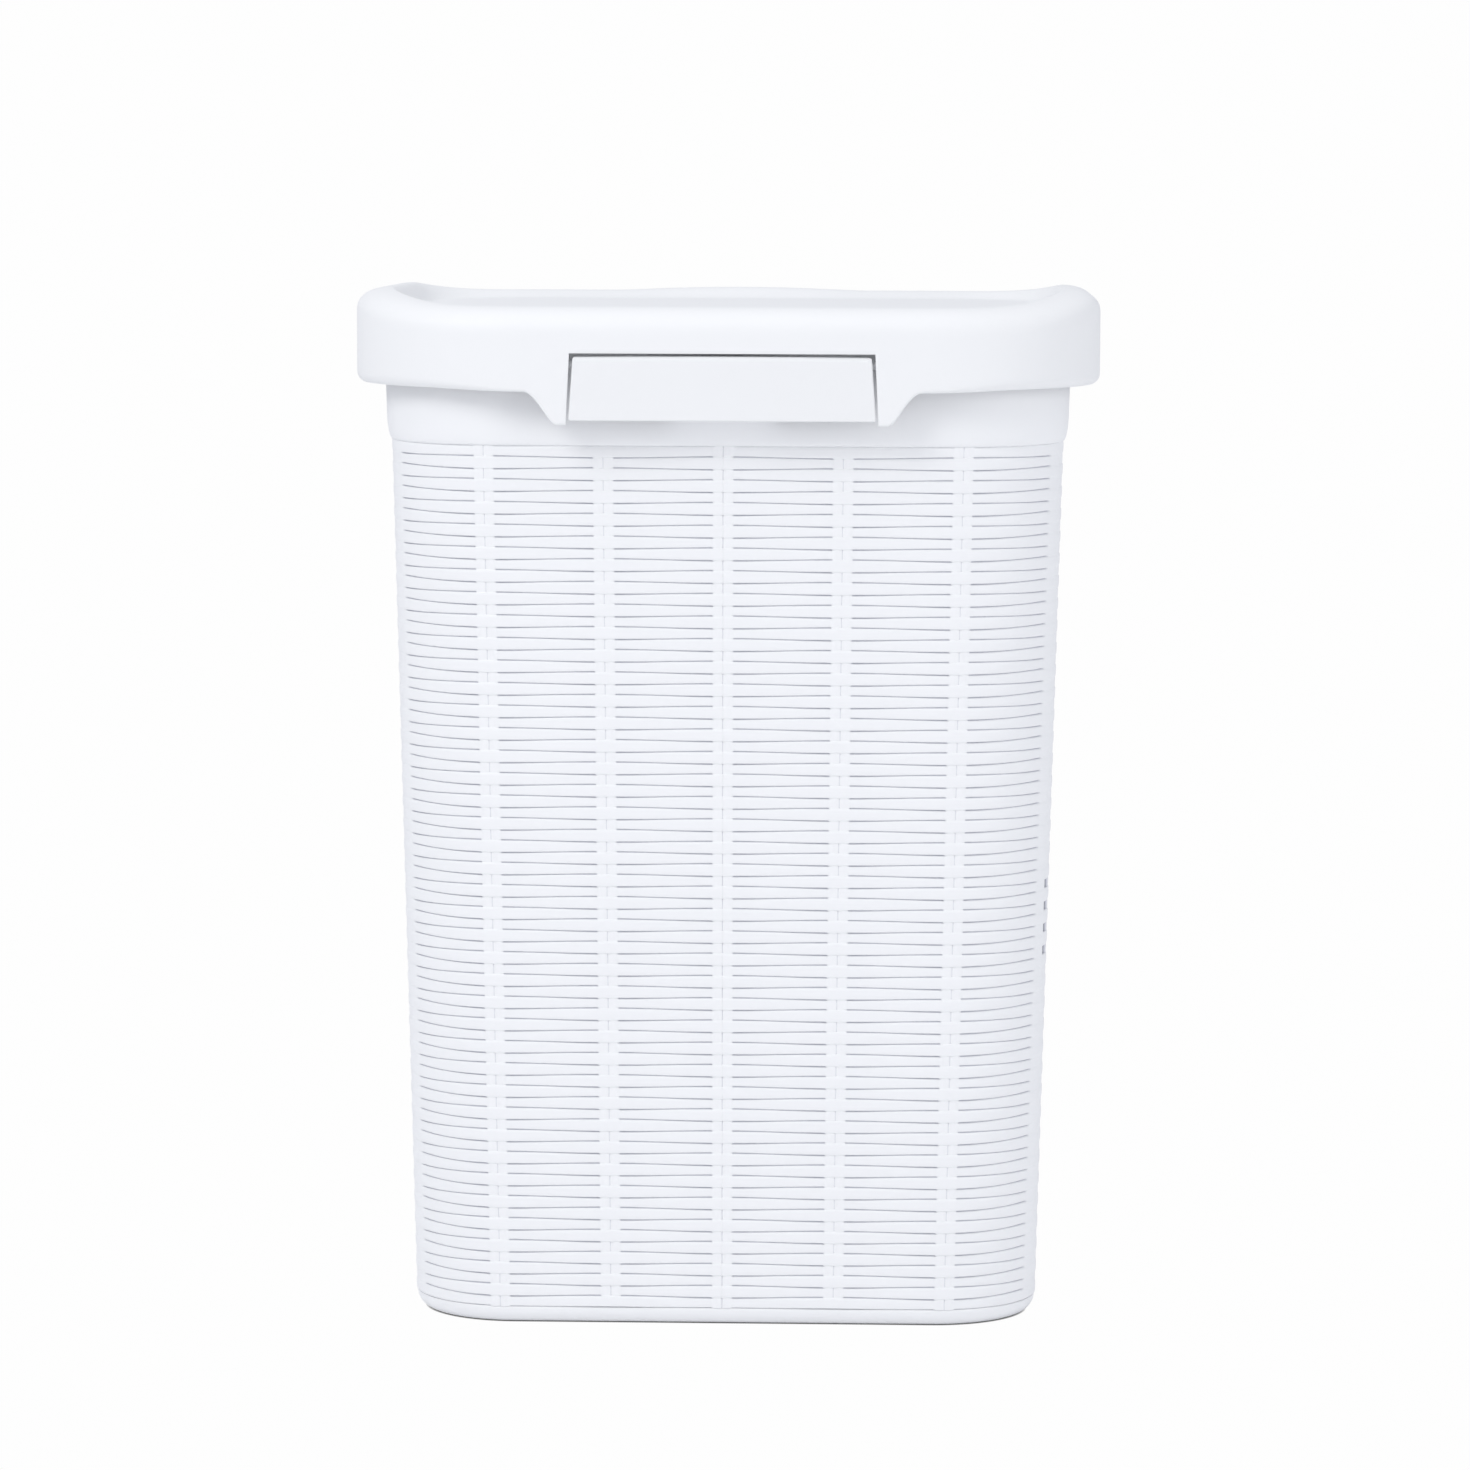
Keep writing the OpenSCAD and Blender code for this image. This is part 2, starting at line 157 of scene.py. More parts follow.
class HAMPER_PG_finish(bpy.types.PropertyGroup):
    tub: colour("Tub", "Colour of the tub's plastic", (0.885, 0.890, 0.902))
    lid: colour("Lid", "Colour of the lid's plastic", (0.858, 0.862, 0.870))
    latch: colour("Latch", "Colour of the latch's plastic", (0.838, 0.842, 0.850))
    pin: colour("Pin", "Colour of the hinge pin", (0.74, 0.75, 0.79))
    # painted shade: a bluish dark painted into the grooves and slits, where shade falls; the fibre streaks
    # reuse it as their darker tone
    crevice: colour("Crevice", "Colour of the plastic down in the grooves", (0.52, 0.53, 0.60))
    # painted shade: near black painted on the blind slots' floors, for the dark seen into a slot
    slot: colour("Slot", "Colour of the dark inside the small slots", (0.012, 0.012, 0.014))
    floor: colour("Floor", "Colour of the studio floor", (0.95, 0.95, 0.955))


class HAMPER_PG_studio(bpy.types.PropertyGroup):
    place: FloatVectorProperty(
        name="Camera",
        description="Where the camera stands",
        default=(0.1296, -3.7073, 0.7407),
        subtype="XYZ",
        unit="LENGTH",
    )
    tilt: degrees("Tilt", "The camera's angle up from straight down", 83.713)
    turn: degrees("Turn", "The camera's turn to the left", 1.97)
    roll: degrees("Roll", "The camera's turn about its own view", 0.147)
    lens: FloatProperty(name="Lens", description="The camera's focal length", default=152.16, unit="CAMERA")
    sky: ratio("Sky", "Brightness of the light from all round", 0.71, 10.0)
    key: power("Key", "Power of the soft light at the upper left", 40.0)
    fill: power("Fill", "Power of the soft light at the right", 21.5)
    top: power("Top", "Power of the soft light overhead", 8.5)


# ---------------------------------------------------------------- shapes


def smooth_step(t):
    """Rises from 0 to 1 as t does, level at both ends: 3 t squared less 2 t cubed."""
    t = np.clip(t, 0, 1)
    return t * t * (3 - 2 * t)


def circle(radius, count):
    """Points round a circle: radius times cosine and sine of equal steps of angle."""
    turn = np.linspace(0, 2 * np.pi, count, endpoint=False)
    return radius * np.stack([np.cos(turn), np.sin(turn)], -1)


def soften(points, radius, steps=4):
    """Rounds each corner of a closed outline with a quadratic curve that starts and ends a radius off."""
    p = np.asarray(points, float)
    reach = []
    for other in (np.roll(p, 1, 0), np.roll(p, -1, 0)):
        away = other - p
        size = np.linalg.norm(away, axis=1, keepdims=True)
        reach.append(p + away / size * np.minimum(radius, 0.45 * size))
    t = np.linspace(0, 1, steps)[None, :, None]
    before, after, corner = reach[0][:, None], reach[1][:, None], p[:, None]
    return ((1 - t) ** 2 * before + 2 * t * (1 - t) * corner + t**2 * after).reshape(-1, 2)


def inset(outline, distance):
    """Moves each point of a closed anticlockwise outline inwards along its normal.

    Distance is one number, or one for each point.
    """
    along = np.roll(outline, -1, 0) - np.roll(outline, 1, 0)
    along /= np.linalg.norm(along, axis=1, keepdims=True)
    inwards = np.stack([-along[:, 1], along[:, 0]], -1)
    return outline + inwards * np.broadcast_to(np.asarray(distance, float), (len(outline),))[:, None]


def anticlockwise(outline):
    """The same closed outline, turned to run anticlockwise."""
    p = np.asarray(outline, float)
    x, y = p[:, 0], p[:, 1]
    area = np.sum(x * np.roll(y, -1) - y * np.roll(x, -1))
    return p if area > 0 else p[::-1]


def corner_path(cx, cy, steps=18):
    """Round a rounded rectangle: the corners' centres, and the outward direction at each step of a turn."""
    turn = np.linspace(0, np.pi / 2, steps + 1)[None, :] + np.arange(4)[:, None] * np.pi / 2
    signs = np.array([[1, 1], [-1, 1], [-1, -1], [1, -1]])[:, None, :]
    centre = np.broadcast_to(signs * np.array([cx, cy]), (4, steps + 1, 2))
    return centre.reshape(-1, 2), np.stack([np.cos(turn), np.sin(turn)], -1).reshape(-1, 2)


def carried(cx, cy, profile, steps=18):
    """A profile of (distance out, height) carried round: corner centre plus distance times direction."""
    centre, out = corner_path(cx, cy, steps)
    p = np.asarray(profile, float)
    flat = centre[None] + p[:, 0, None, None] * out[None]
    return np.concatenate([flat, np.broadcast_to(p[:, 1, None, None], flat.shape[:2] + (1,))], -1)


def along_x(layers):
    """Loops of (y, z) points set at their own x: a list of (x, loop)."""
    return np.stack([np.column_stack([np.full(len(loop), x), loop]) for x, loop in layers])


class Shell:
    """A surface's vertices, and its faces in groups: an array of vertex numbers, and whether it is smooth."""

    def __init__(self, vertices, groups):
        self.vertices = np.asarray(vertices, float)
        self.groups = [(np.asarray(f), bool(s)) for f, s in groups]
        if self.volume() < 0:
            self.groups = [(f[:, ::-1], s) for f, s in self.groups]

    def volume(self):
        """Six times the volume: the sum over fan triangles of corner dot (corner cross corner)."""
        total = 0.0
        for faces, _ in self.groups:
            p = self.vertices[faces]
            total += np.einsum("fc,fkc->", p[:, 0], np.cross(p[:, 1:-1], p[:, 2:]))
        return total


def sweep(rings, closed=False, flat=()):
    """Joins a stack of closed loops with quads: point n of layer l to point n + 1 and to layer l + 1.

    A closed stack joins its last loop to its first; an open one has a flat cap at each end. Flat names the
    steps between layers that are shaded flat.
    """
    layers, count = rings.shape[:2]
    spans = layers if closed else layers - 1
    layer = np.arange(spans)[:, None]
    here = np.arange(count)[None, :]
    after = (here + 1) % count
    above = (layer + 1) % layers
    quads = np.stack(
        [layer * count + here, layer * count + after, above * count + after, above * count + here], -1
    )
    is_flat = np.isin(np.arange(spans), [f % spans for f in flat])
    groups = [(quads[~is_flat].reshape(-1, 4), True), (quads[is_flat].reshape(-1, 4), False)]
    if not closed:
        groups.append((np.arange(count)[None, ::-1], False))
        groups.append(((layers - 1) * count + np.arange(count)[None], False))
    return Shell(rings.reshape(-1, 3), [g for g in groups if len(g[0])])


def ring(cx, cy, profile, radius):
    """A rounded rectangular ring: its softened closed profile carried round."""
    return sweep(carried(cx, cy, soften(profile, radius)), closed=True)


def plate(cx, cy, profile):
    """A rounded rectangular plate: an open profile carried round, and closed by a cap below and above."""
    return sweep(carried(cx, cy, profile))


def bar(x0, x1, outline, bevel, radius):
    """A bar along X with a softened (y, z) outline, drawn in by the bevel at both ends."""
    loop = anticlockwise(soften(outline, radius))
    small = inset(loop, bevel)
    return sweep(along_x([(x0, small), (x0 + bevel, loop), (x1 - bevel, loop), (x1, small)]))


def bored_bar(x0, x1, outline, centre, bore, bevel, radius):
    """A bar along X with a hole through it, whose points are the outline's drawn in towards its centre."""
    loop = anticlockwise(soften(outline, radius, 6))
    small = inset(loop, bevel)
    away = loop - centre
    away /= np.linalg.norm(away, axis=1, keepdims=True)
    hole = centre + bore * away
    wide = centre + (bore + bevel / 2) * away
    layers = [
        (x0, small), (x0 + bevel, loop), (x1 - bevel, loop), (x1, small),
        (x1, wide), (x1 - bevel / 2, hole), (x0 + bevel / 2, hole), (x0, wide),
    ]
    return sweep(along_x(layers), closed=True, flat=(3, 7))


def rod(x0, x1, centre, radius, bevel, count=40):
    """A round rod along X with bevelled ends."""
    loop = centre + circle(radius, count)
    small = centre + circle(radius - bevel, count)
    return sweep(along_x([(x0, small), (x0 + bevel, loop), (x1 - bevel, loop), (x1, small)]))


def mirrored(shell):
    """The same shell on the other side of the middle plane, X to -X, its faces turned to point outwards."""
    return Shell(shell.vertices * [-1, 1, 1], [(f[:, ::-1], s) for f, s in shell.groups])


# ---------------------------------------------------------------- meshes


def make_object(name, *shells, uv=None, values=None):
    """Puts shells into one new mesh object. Uv is a (u, v), and values a number, for each vertex."""
    mesh = bpy.data.meshes.new(name)
    offsets = np.cumsum([0] + [len(s.vertices) for s in shells])
    vertices = np.concatenate([s.vertices for s in shells])
    groups = [(f + o, s) for shell, o in zip(shells, offsets) for f, s in shell.groups]
    corners = np.concatenate([f.ravel() for f, _ in groups])
    sizes = np.concatenate([np.full(len(f), f.shape[1]) for f, _ in groups])
    smooth = np.concatenate([np.full(len(f), s) for f, s in groups])
    mesh.vertices.add(len(vertices))
    mesh.vertices.foreach_set("co", vertices.astype(np.float32).ravel())
    mesh.loops.add(len(corners))
    mesh.loops.foreach_set("vertex_index", corners.astype(np.int32))
    mesh.polygons.add(len(sizes))
    mesh.polygons.foreach_set("loop_start", (np.cumsum(sizes) - sizes).astype(np.int32))
    mesh.update(calc_edges=True)
    mesh.polygons.foreach_set("use_smooth", smooth)
    if uv is not None:
        layer = mesh.uv_layers.new(name="UVMap")
        layer.uv.foreach_set("vector", uv[corners].astype(np.float32).ravel())
    for label, numbers in (values or {}).items():
        attribute = mesh.attributes.new(label, "FLOAT", "POINT")
        attribute.data.foreach_set("value", numbers.astype(np.float32))
    mesh.validate()
    obj = bpy.data.objects.new(name, mesh)
    bpy.context.scene.collection.objects.link(obj)
    return obj


def place_piece(obj, body, slot, replaces):
    """Gives a piece the material for its slot in the record and its body, and hides the CAD nodes that it
    stands for.
    """
    obj.data.materials.append(material(slot, woven=slot == "tub_plastic" and bool(obj.data.uv_layers)))
    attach(obj, body)
    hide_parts(*replaces)
    return obj


# ---------------------------------------------------------------- materials


def new_group(name, inputs, outputs):
    """An empty shader node group with named inputs (name, kind, default) and outputs (name, kind)."""
    group = bpy.data.node_groups.new(name, "ShaderNodeTree")
    for label, kind, default in inputs:
        socket = group.interface.new_socket(label, in_out="INPUT", socket_type="NodeSocket" + kind)
        if default is not None:
            socket.default_value = default
    for label, kind in outputs:
        group.interface.new_socket(label, in_out="OUTPUT", socket_type="NodeSocket" + kind)
    return group, group.nodes.new("NodeGroupInput"), group.nodes.new("NodeGroupOutput")


def noise(tree, vector, scale, detail, roughness=0.5):
    """A noise texture node fed by a vector, with its scale linked when it is a socket."""
    node = tree.nodes.new("ShaderNodeTexNoise")
    node.inputs["Detail"].default_value = detail
    node.inputs["Roughness"].default_value = roughness
    tree.links.new(vector, node.inputs["Vector"])
    if isinstance(scale, (int, float)):
        node.inputs["Scale"].default_value = scale
    else:
        tree.links.new(scale, node.inputs["Scale"])
    return node.outputs["Fac"]


def maths(tree, operation, first, second=None, third=None):
    """A maths node whose terms are numbers or sockets."""
    node = tree.nodes.new("ShaderNodeMath")
    node.operation = operation
    for slot, term in enumerate((first, second, third)):
        if isinstance(term, (int, float)):
            node.inputs[slot].default_value = term
        elif term is not None:
            tree.links.new(term, node.inputs[slot])
    return node.outputs[0]


def mix_colour(tree, factor, first, second):
    """Blends two colours by a factor; each term is a value or a socket."""
    node = tree.nodes.new("ShaderNodeMix")
    node.data_type = "RGBA"
    for label, term in ((0, factor), (6, first), (7, second)):
        if isinstance(term, bpy.types.NodeSocket):
            tree.links.new(term, node.inputs[label])
        else:
            node.inputs[label].default_value = term
    return node.outputs[2]


def moulded_skin():
    """Group: the skin of moulded plastic. Fine pitted grain over broad, shallow sink marks, as a height."""
    group, given, out = new_group(
        "Moulded Skin",
        [("Vector", "Vector", None), ("Grain", "Float", 1400.0), ("Sink", "Float", 0.5)],
        [("Height", "Float")],
    )
    grain = noise(group, given.outputs["Vector"], given.outputs["Grain"], 3.0, 0.6)
    flow = noise(group, given.outputs["Vector"], 14.0, 2.0)
    broad = maths(group, "MULTIPLY", flow, given.outputs["Sink"])
    group.links.new(maths(group, "ADD", maths(group, "MULTIPLY", grain, 0.1), broad), out.inputs["Height"])
    return group


def strand_fibre():
    """Group: faint lines that run along a strand, as a mask. It reads distance along and up the wall."""
    group, given, out = new_group(
        "Strand Fibre",
        [("UV", "Vector", None), ("Along", "Float", 26.0), ("Across", "Float", 900.0)],
        [("Mask", "Float")],
    )
    scale = group.nodes.new("ShaderNodeCombineXYZ")
    group.links.new(given.outputs["Along"], scale.inputs["X"])
    group.links.new(given.outputs["Across"], scale.inputs["Y"])
    stretched = group.nodes.new("ShaderNodeVectorMath")
    stretched.operation = "MULTIPLY"
    group.links.new(given.outputs["UV"], stretched.inputs[0])
    group.links.new(scale.outputs[0], stretched.inputs[1])
    group.links.new(noise(group, stretched.outputs[0], 1.0, 2.0), out.inputs["Mask"])
    return group


def handling_marks():
    """Group: how use has dulled a plastic. Cloudy patches and fine scuffs vary its colour and roughness."""
    group, given, out = new_group(
        "Handling Marks",
        [
            ("Vector", "Vector", None),
            ("Colour", "Color", (0.8, 0.8, 0.8, 1)),
            ("Shade", "Color", (0.7, 0.7, 0.75, 1)),
            ("Amount", "Float", 0.2),
            ("Smoothest", "Float", 0.35),
            ("Roughest", "Float", 0.5),
        ],
        [("Colour", "Color"), ("Roughness", "Float")],
    )
    cloud = noise(group, given.outputs["Vector"], 9.0, 4.0, 0.55)
    scuff = noise(group, given.outputs["Vector"], 260.0, 5.0, 0.7)
    both = maths(group, "ADD", maths(group, "MULTIPLY", cloud, 0.7), maths(group, "MULTIPLY", scuff, 0.3))
    tint = maths(group, "MULTIPLY", both, given.outputs["Amount"])
    group.links.new(
        mix_colour(group, tint, given.outputs["Colour"], given.outputs["Shade"]), out.inputs["Colour"]
    )
    spread = maths(group, "SUBTRACT", given.outputs["Roughest"], given.outputs["Smoothest"])
    group.links.new(
        maths(group, "MULTIPLY_ADD", both, spread, given.outputs["Smoothest"]), out.inputs["Roughness"]
    )
    return group


def shared(maker):
    """A node group by its maker, built the first time it is asked for."""
    name = maker.__name__
    if name not in SHARED:
        SHARED[name] = maker()
    return SHARED[name]


SHARED = {}
FINISHES = {  # colour setting, smoothest and roughest, depth of the skin in metres, specular level
    "tub_plastic": ("tub", 0.42, 0.58, 0.00004, 0.4),
    "lid_plastic": ("lid", 0.5, 0.62, 0.00003, 0.4),
    "latch_plastic": ("latch", 0.48, 0.6, 0.00003, 0.4),
    "pin_plastic": ("pin", 0.2, 0.34, 0.00001, 0.5),
}


def material(slot, woven=False):
    """The material of one slot of the record; the woven one adds fibre lines, painted shade in the grooves
    and painted near black in the slots.
    """
    name = "hamper_" + slot + ("_woven" if woven else "")
    if name in bpy.data.materials:
        return bpy.data.materials[name]
    finish = bpy.context.scene.hamper_finish
    setting, smoothest, roughest, depth, specular = FINISHES[slot]
    made = bpy.data.materials.new(name)
    made.use_nodes = True
    tree = made.node_tree
    principled = tree.nodes["Principled BSDF"]
    principled.inputs["Specular IOR Level"].default_value = specular
    where = tree.nodes.new("ShaderNodeTexCoord")

    skin = tree.nodes.new("ShaderNodeGroup")
    skin.node_tree = shared(moulded_skin)
    tree.links.new(where.outputs["Object"], skin.inputs["Vector"])

    marks = tree.nodes.new("ShaderNodeGroup")
    marks.node_tree = shared(handling_marks)
    tree.links.new(where.outputs["Object"], marks.inputs["Vector"])
    base = (*getattr(finish, setting), 1)
    marks.inputs["Colour"].default_value = base
    marks.inputs["Shade"].default_value = (*(0.86 * c for c in base[:3]), 1)
    marks.inputs["Smoothest"].default_value = smoothest
    marks.inputs["Roughest"].default_value = roughest

    tint = marks.outputs["Colour"]
    height = skin.outputs["Height"]
    if woven:
        fibre = tree.nodes.new("ShaderNodeGroup")
        fibre.node_tree = shared(strand_fibre)
        tree.links.new(where.outputs["UV"], fibre.inputs["UV"])
        # fibre streaks, the strands' own colour, take the groove shade colour as their darker tone
        streak = maths(tree, "MULTIPLY", fibre.outputs["Mask"], 0.07)
        tint = mix_colour(tree, streak, tint, (*finish.crevice, 1))
        # painted shade: the grooves and slits are darkened by a shade value kept on the mesh
        crevice = tree.nodes.new("ShaderNodeAttribute")
        crevice.attribute_name = "crevice"
        tint = mix_colour(tree, crevice.outputs["Fac"], tint, (*finish.crevice, 1))
        # a painted shade value past 1 marks a slot, whose floor is painted near black for the dark seen into
        # it
        slot_shade = maths(tree, "SUBTRACT", crevice.outputs["Fac"], 1.0)
        slot_shade.node.use_clamp = True
        tint = mix_colour(tree, slot_shade, tint, (*finish.slot, 1))
    bump = tree.nodes.new("ShaderNodeBump")
    bump.inputs["Strength"].default_value = 1.0
    bump.inputs["Distance"].default_value = depth
    tree.links.new(height, bump.inputs["Height"])
    tree.links.new(tint, principled.inputs["Base Color"])
    tree.links.new(marks.outputs["Roughness"], principled.inputs["Roughness"])
    tree.links.new(bump.outputs["Normal"], principled.inputs["Normal"])
    return made


# ---------------------------------------------------------------- woven wall


class Wall:
    """The tub's tapered outline, as the CAD walls give it."""

    def __init__(self, weave):
        self.top = edge("wall_front", HIGH, Z)
        self.foot = edge("foot_band", HIGH, Z)
        self.top_half = np.array([edge("wall_right", HIGH, X), -edge("wall_front", LOW, Y)])
        self.foot_half = np.array([edge("foot_band", HIGH, X), edge("foot_band", HIGH, Y)])
        self.top_r = self.top_half[0] - edge("wall_front", HIGH, X)
        self.foot_r = weave.foot_radius
        self.weave = weave

    def sizes(self, z):
        """Half width, half depth and corner radius at a height, in line between floor and weave top."""
        t = np.asarray(z)[..., None] / self.top
        half = self.foot_half + (self.top_half - self.foot_half) * t
        return half[..., 0], half[..., 1], self.foot_r + (self.top_r - self.foot_r) * t[..., 0]

    def stakes(self, z, index):
        """Distance round the wall from the middle of the front to a stake, at a height.

        Three stakes stand a pitch apart from the middle of the front, one is on the corner, and one is about
        half a pitch short of the side's middle; the other quarters mirror the first.
        """
        hw, hd, r = self.sizes(z)
        pitch = self.weave.foot_pitch + (self.weave.front_pitch - self.weave.foot_pitch) * z / self.top
        arc = r * np.pi / 2
        quarter = hw + hd - 2 * r + arc
        corner = hw - r + self.weave.corner_stake * arc
        first = [0 * pitch, pitch, 2 * pitch, corner, quarter - SIDE_STAKE * pitch]
        half = first + [2 * quarter - s for s in first[::-1]]
        whole = half + [4 * quarter - s for s in half[-2::-1]]
        return np.take_along_axis(np.stack(whole), index[None], 0)[0], 4 * quarter

    def point(self, s, z, out):
        """The point a distance s round the wall at height z, moved outwards by out.

        The outline runs straight, turns through a quarter circle, and so on: its place is the sum of the
        straight lengths and of the radius times the sine or one less the cosine of each angle turned.
        """
        hw, hd, r = self.sizes(z)
        side = np.where(s < 0, -1.0, 1.0)
        a = np.abs(s)
        fx, fy, arc = hw - r, hd - r, r * np.pi / 2
        t1 = np.clip(a - fx, 0, arc) / r
        t2 = np.clip(a - fx - arc - 2 * fy, 0, arc) / r
        x = np.minimum(a, fx) + r * np.sin(t1) - r * (1 - np.cos(t2))
        x = x - np.clip(a - fx - 2 * arc - 2 * fy, 0, fx)
        y = -hd + r * (1 - np.cos(t1)) + np.clip(a - fx - arc, 0, 2 * fy) + r * np.sin(t2)
        turn = t1 + t2
        return np.stack([side * (x + out * np.sin(turn)), y - out * np.cos(turn), z], -1)


# Columns from one stake to the middle of a gap, and rows from one strand's edge to its middle
COLUMNS = np.array([0, 0.35, 0.9, 2.9, 4.9, 5.5, 6.3, 8, 12, 17, 22.5, 29]) * MM
ROWS = np.array([0, 0.13, 0.38, 0.95, 2.0]) * MM
NEAR = 8 * MM  # the columns this near a stake keep their distance from it
HALF_GAP = 35 * MM
STAKES = 18
SIDE_STAKE = 0.51  # how many pitches the side's stakes stand from the side's middle
CORNER_STAKES = (3, 6)  # of each nine stakes
SLOT_STAKE = 3
SLOT_DEPTH = 1.7 * MM
SLOT_START, SLOT_STOP = 0.2 * MM, 3 * MM
SLOT_EDGE = 0.3 * MM  # what is left of a strand above and below a slot
SLIT_HALF = 0.3 * MM
WIDENING = 0.7 * MM  # the rows this near a strand's edge move with the groove
ROD_PROUD, ROD_ROUND = 0.15 * MM, 0.45 * MM
GROOVE_HALF = 0.25 * MM
GROOVE_START, GROOVE_RAMP = 5.5 * MM, 0.8 * MM
EDGE_ROUND = 0.95 * MM  # how far from a strand's edge its rounding reaches
TAPER_START, TAPER_LENGTH = 6 * MM, 20 * MM  # how the grooves thin out away from a stake


class Columns:
    """The woven face's columns: the stake to the left of each, the nearest stake, and how far off that is."""

    def __init__(self, first, last):
        per_gap = 2 * len(COLUMNS)
        gap, step = np.divmod(np.arange((last - first) * per_gap + 1), per_gap)
        self.near_next = step > len(COLUMNS)
        self.middle = step == len(COLUMNS)
        self.offset = np.append(COLUMNS, HALF_GAP)[np.where(self.near_next, per_gap - step, step)]
        self.left = first + gap
        self.nearest = np.where(self.near_next, self.left + 1, self.left)
        self.is_corner = np.isin(self.nearest % 9, CORNER_STAKES)


class Rows:
    """The woven face's rows, from its top down: the strand of each, and how far off the strand's edge is."""

    def __init__(self, wall):
        self.strands = wall.weave.strands
        self.height = (wall.top - wall.foot) / self.strands
        per_strand = 2 * len(ROWS)
        strand, part = np.divmod(np.arange(self.strands * per_strand + 1), per_strand)
        from_next = part > len(ROWS)
        reach = np.append(ROWS, self.height / 2)[np.where(from_next, per_strand - part, part)]
        self.strand, self.from_next, self.reach = strand[:, None], from_next[:, None], reach[:, None]

    def inside(self, reach):
        """How far down its strand a row is, from 0 to 1, when it is this far from the nearer edge."""
        return np.where(self.from_next, self.height - reach, reach) / self.height


def passes_over(strand, stake):
    """1 where a strand passes over a stake and -1 where it passes under, by turns along and up the wall."""
    return np.where((stake + strand) % 2 == 1, 1.0, -1.0)


def along_wall(wall, rows, columns):
    """Distance round the wall, fraction of the gap, distance beside the nearest stake, and length all round.

    Near a stake a column stands its own offset away, times how much wider that stake is; the others are
    spread over the rest of the gap. Stakes are placed at the strands' level height.
    """
    level = wall.top - (rows.strand + rows.inside(rows.reach)) * rows.height
    level = np.broadcast_to(level, (len(level), len(columns.left)))
    left = np.broadcast_to(columns.left, level.shape)
    here, round_wall = wall.stakes(level, left)
    there, _ = wall.stakes(level, np.minimum(left + 1, STAKES))
    gap = np.where(there > here, there - here, HALF_GAP * 2)
    wider = np.where(columns.is_corner, wall.weave.corner_width, 1.0)
    offset = columns.offset
    spread = (gap / 2 - NEAR * wider) / (HALF_GAP - NEAR)
    from_stake = np.where(offset > NEAR, NEAR * wider + (offset - NEAR) * spread, offset * wider)
    s = np.where(columns.near_next, there - from_stake, here + from_stake)
    s = np.where(columns.middle, (here + there) / 2, s)
    beside = np.where(offset > NEAR, from_stake + NEAR * (1 - wider), offset)
    return s, (s - here) / gap, np.broadcast_to(beside, s.shape), round_wall


def groove_places(rows, reach, beside, over):
    """Where the grooves are cut, from 0 to 1.

    They run along the strands' edges between the stakes. Under the last strand they run on below the stakes
    that it passes over, and the first strand has none above it.
    """
    open_here = smooth_step((beside - GROOVE_START) / GROOVE_RAMP)
    last_edge = rows.strand == rows.strands
    near_last = (rows.strand >= rows.strands - 1) & rows.from_next | last_edge
    open_here = np.where(near_last & (over * np.where(last_edge, -1, 1) > 0), 1.0, open_here)
    open_here = np.where((rows.strand == 0) & ~rows.from_next, 0.0, open_here)
    return np.where(reach < GROOVE_HALF, open_here, 0.0)


def slot_places(wall, rows, columns, reach):
    """Where the blind slots are: across part of one stake, in every second strand from a height down."""
    middles = wall.top - (rows.strand + 0.5) * rows.height
    first = rows.strand[np.argmin(np.abs(middles - wall.weave.marks_top))]
    number = rows.strand - first
    chosen = (number >= 0) & (number < 2 * wall.weave.marks) & (number % 2 == 0)
    beyond = (columns.left == SLOT_STAKE) & ~columns.near_next
    beyond = beyond & (columns.offset > SLOT_START) & (columns.offset < SLOT_STOP)
    return chosen & beyond & (reach > SLOT_EDGE)


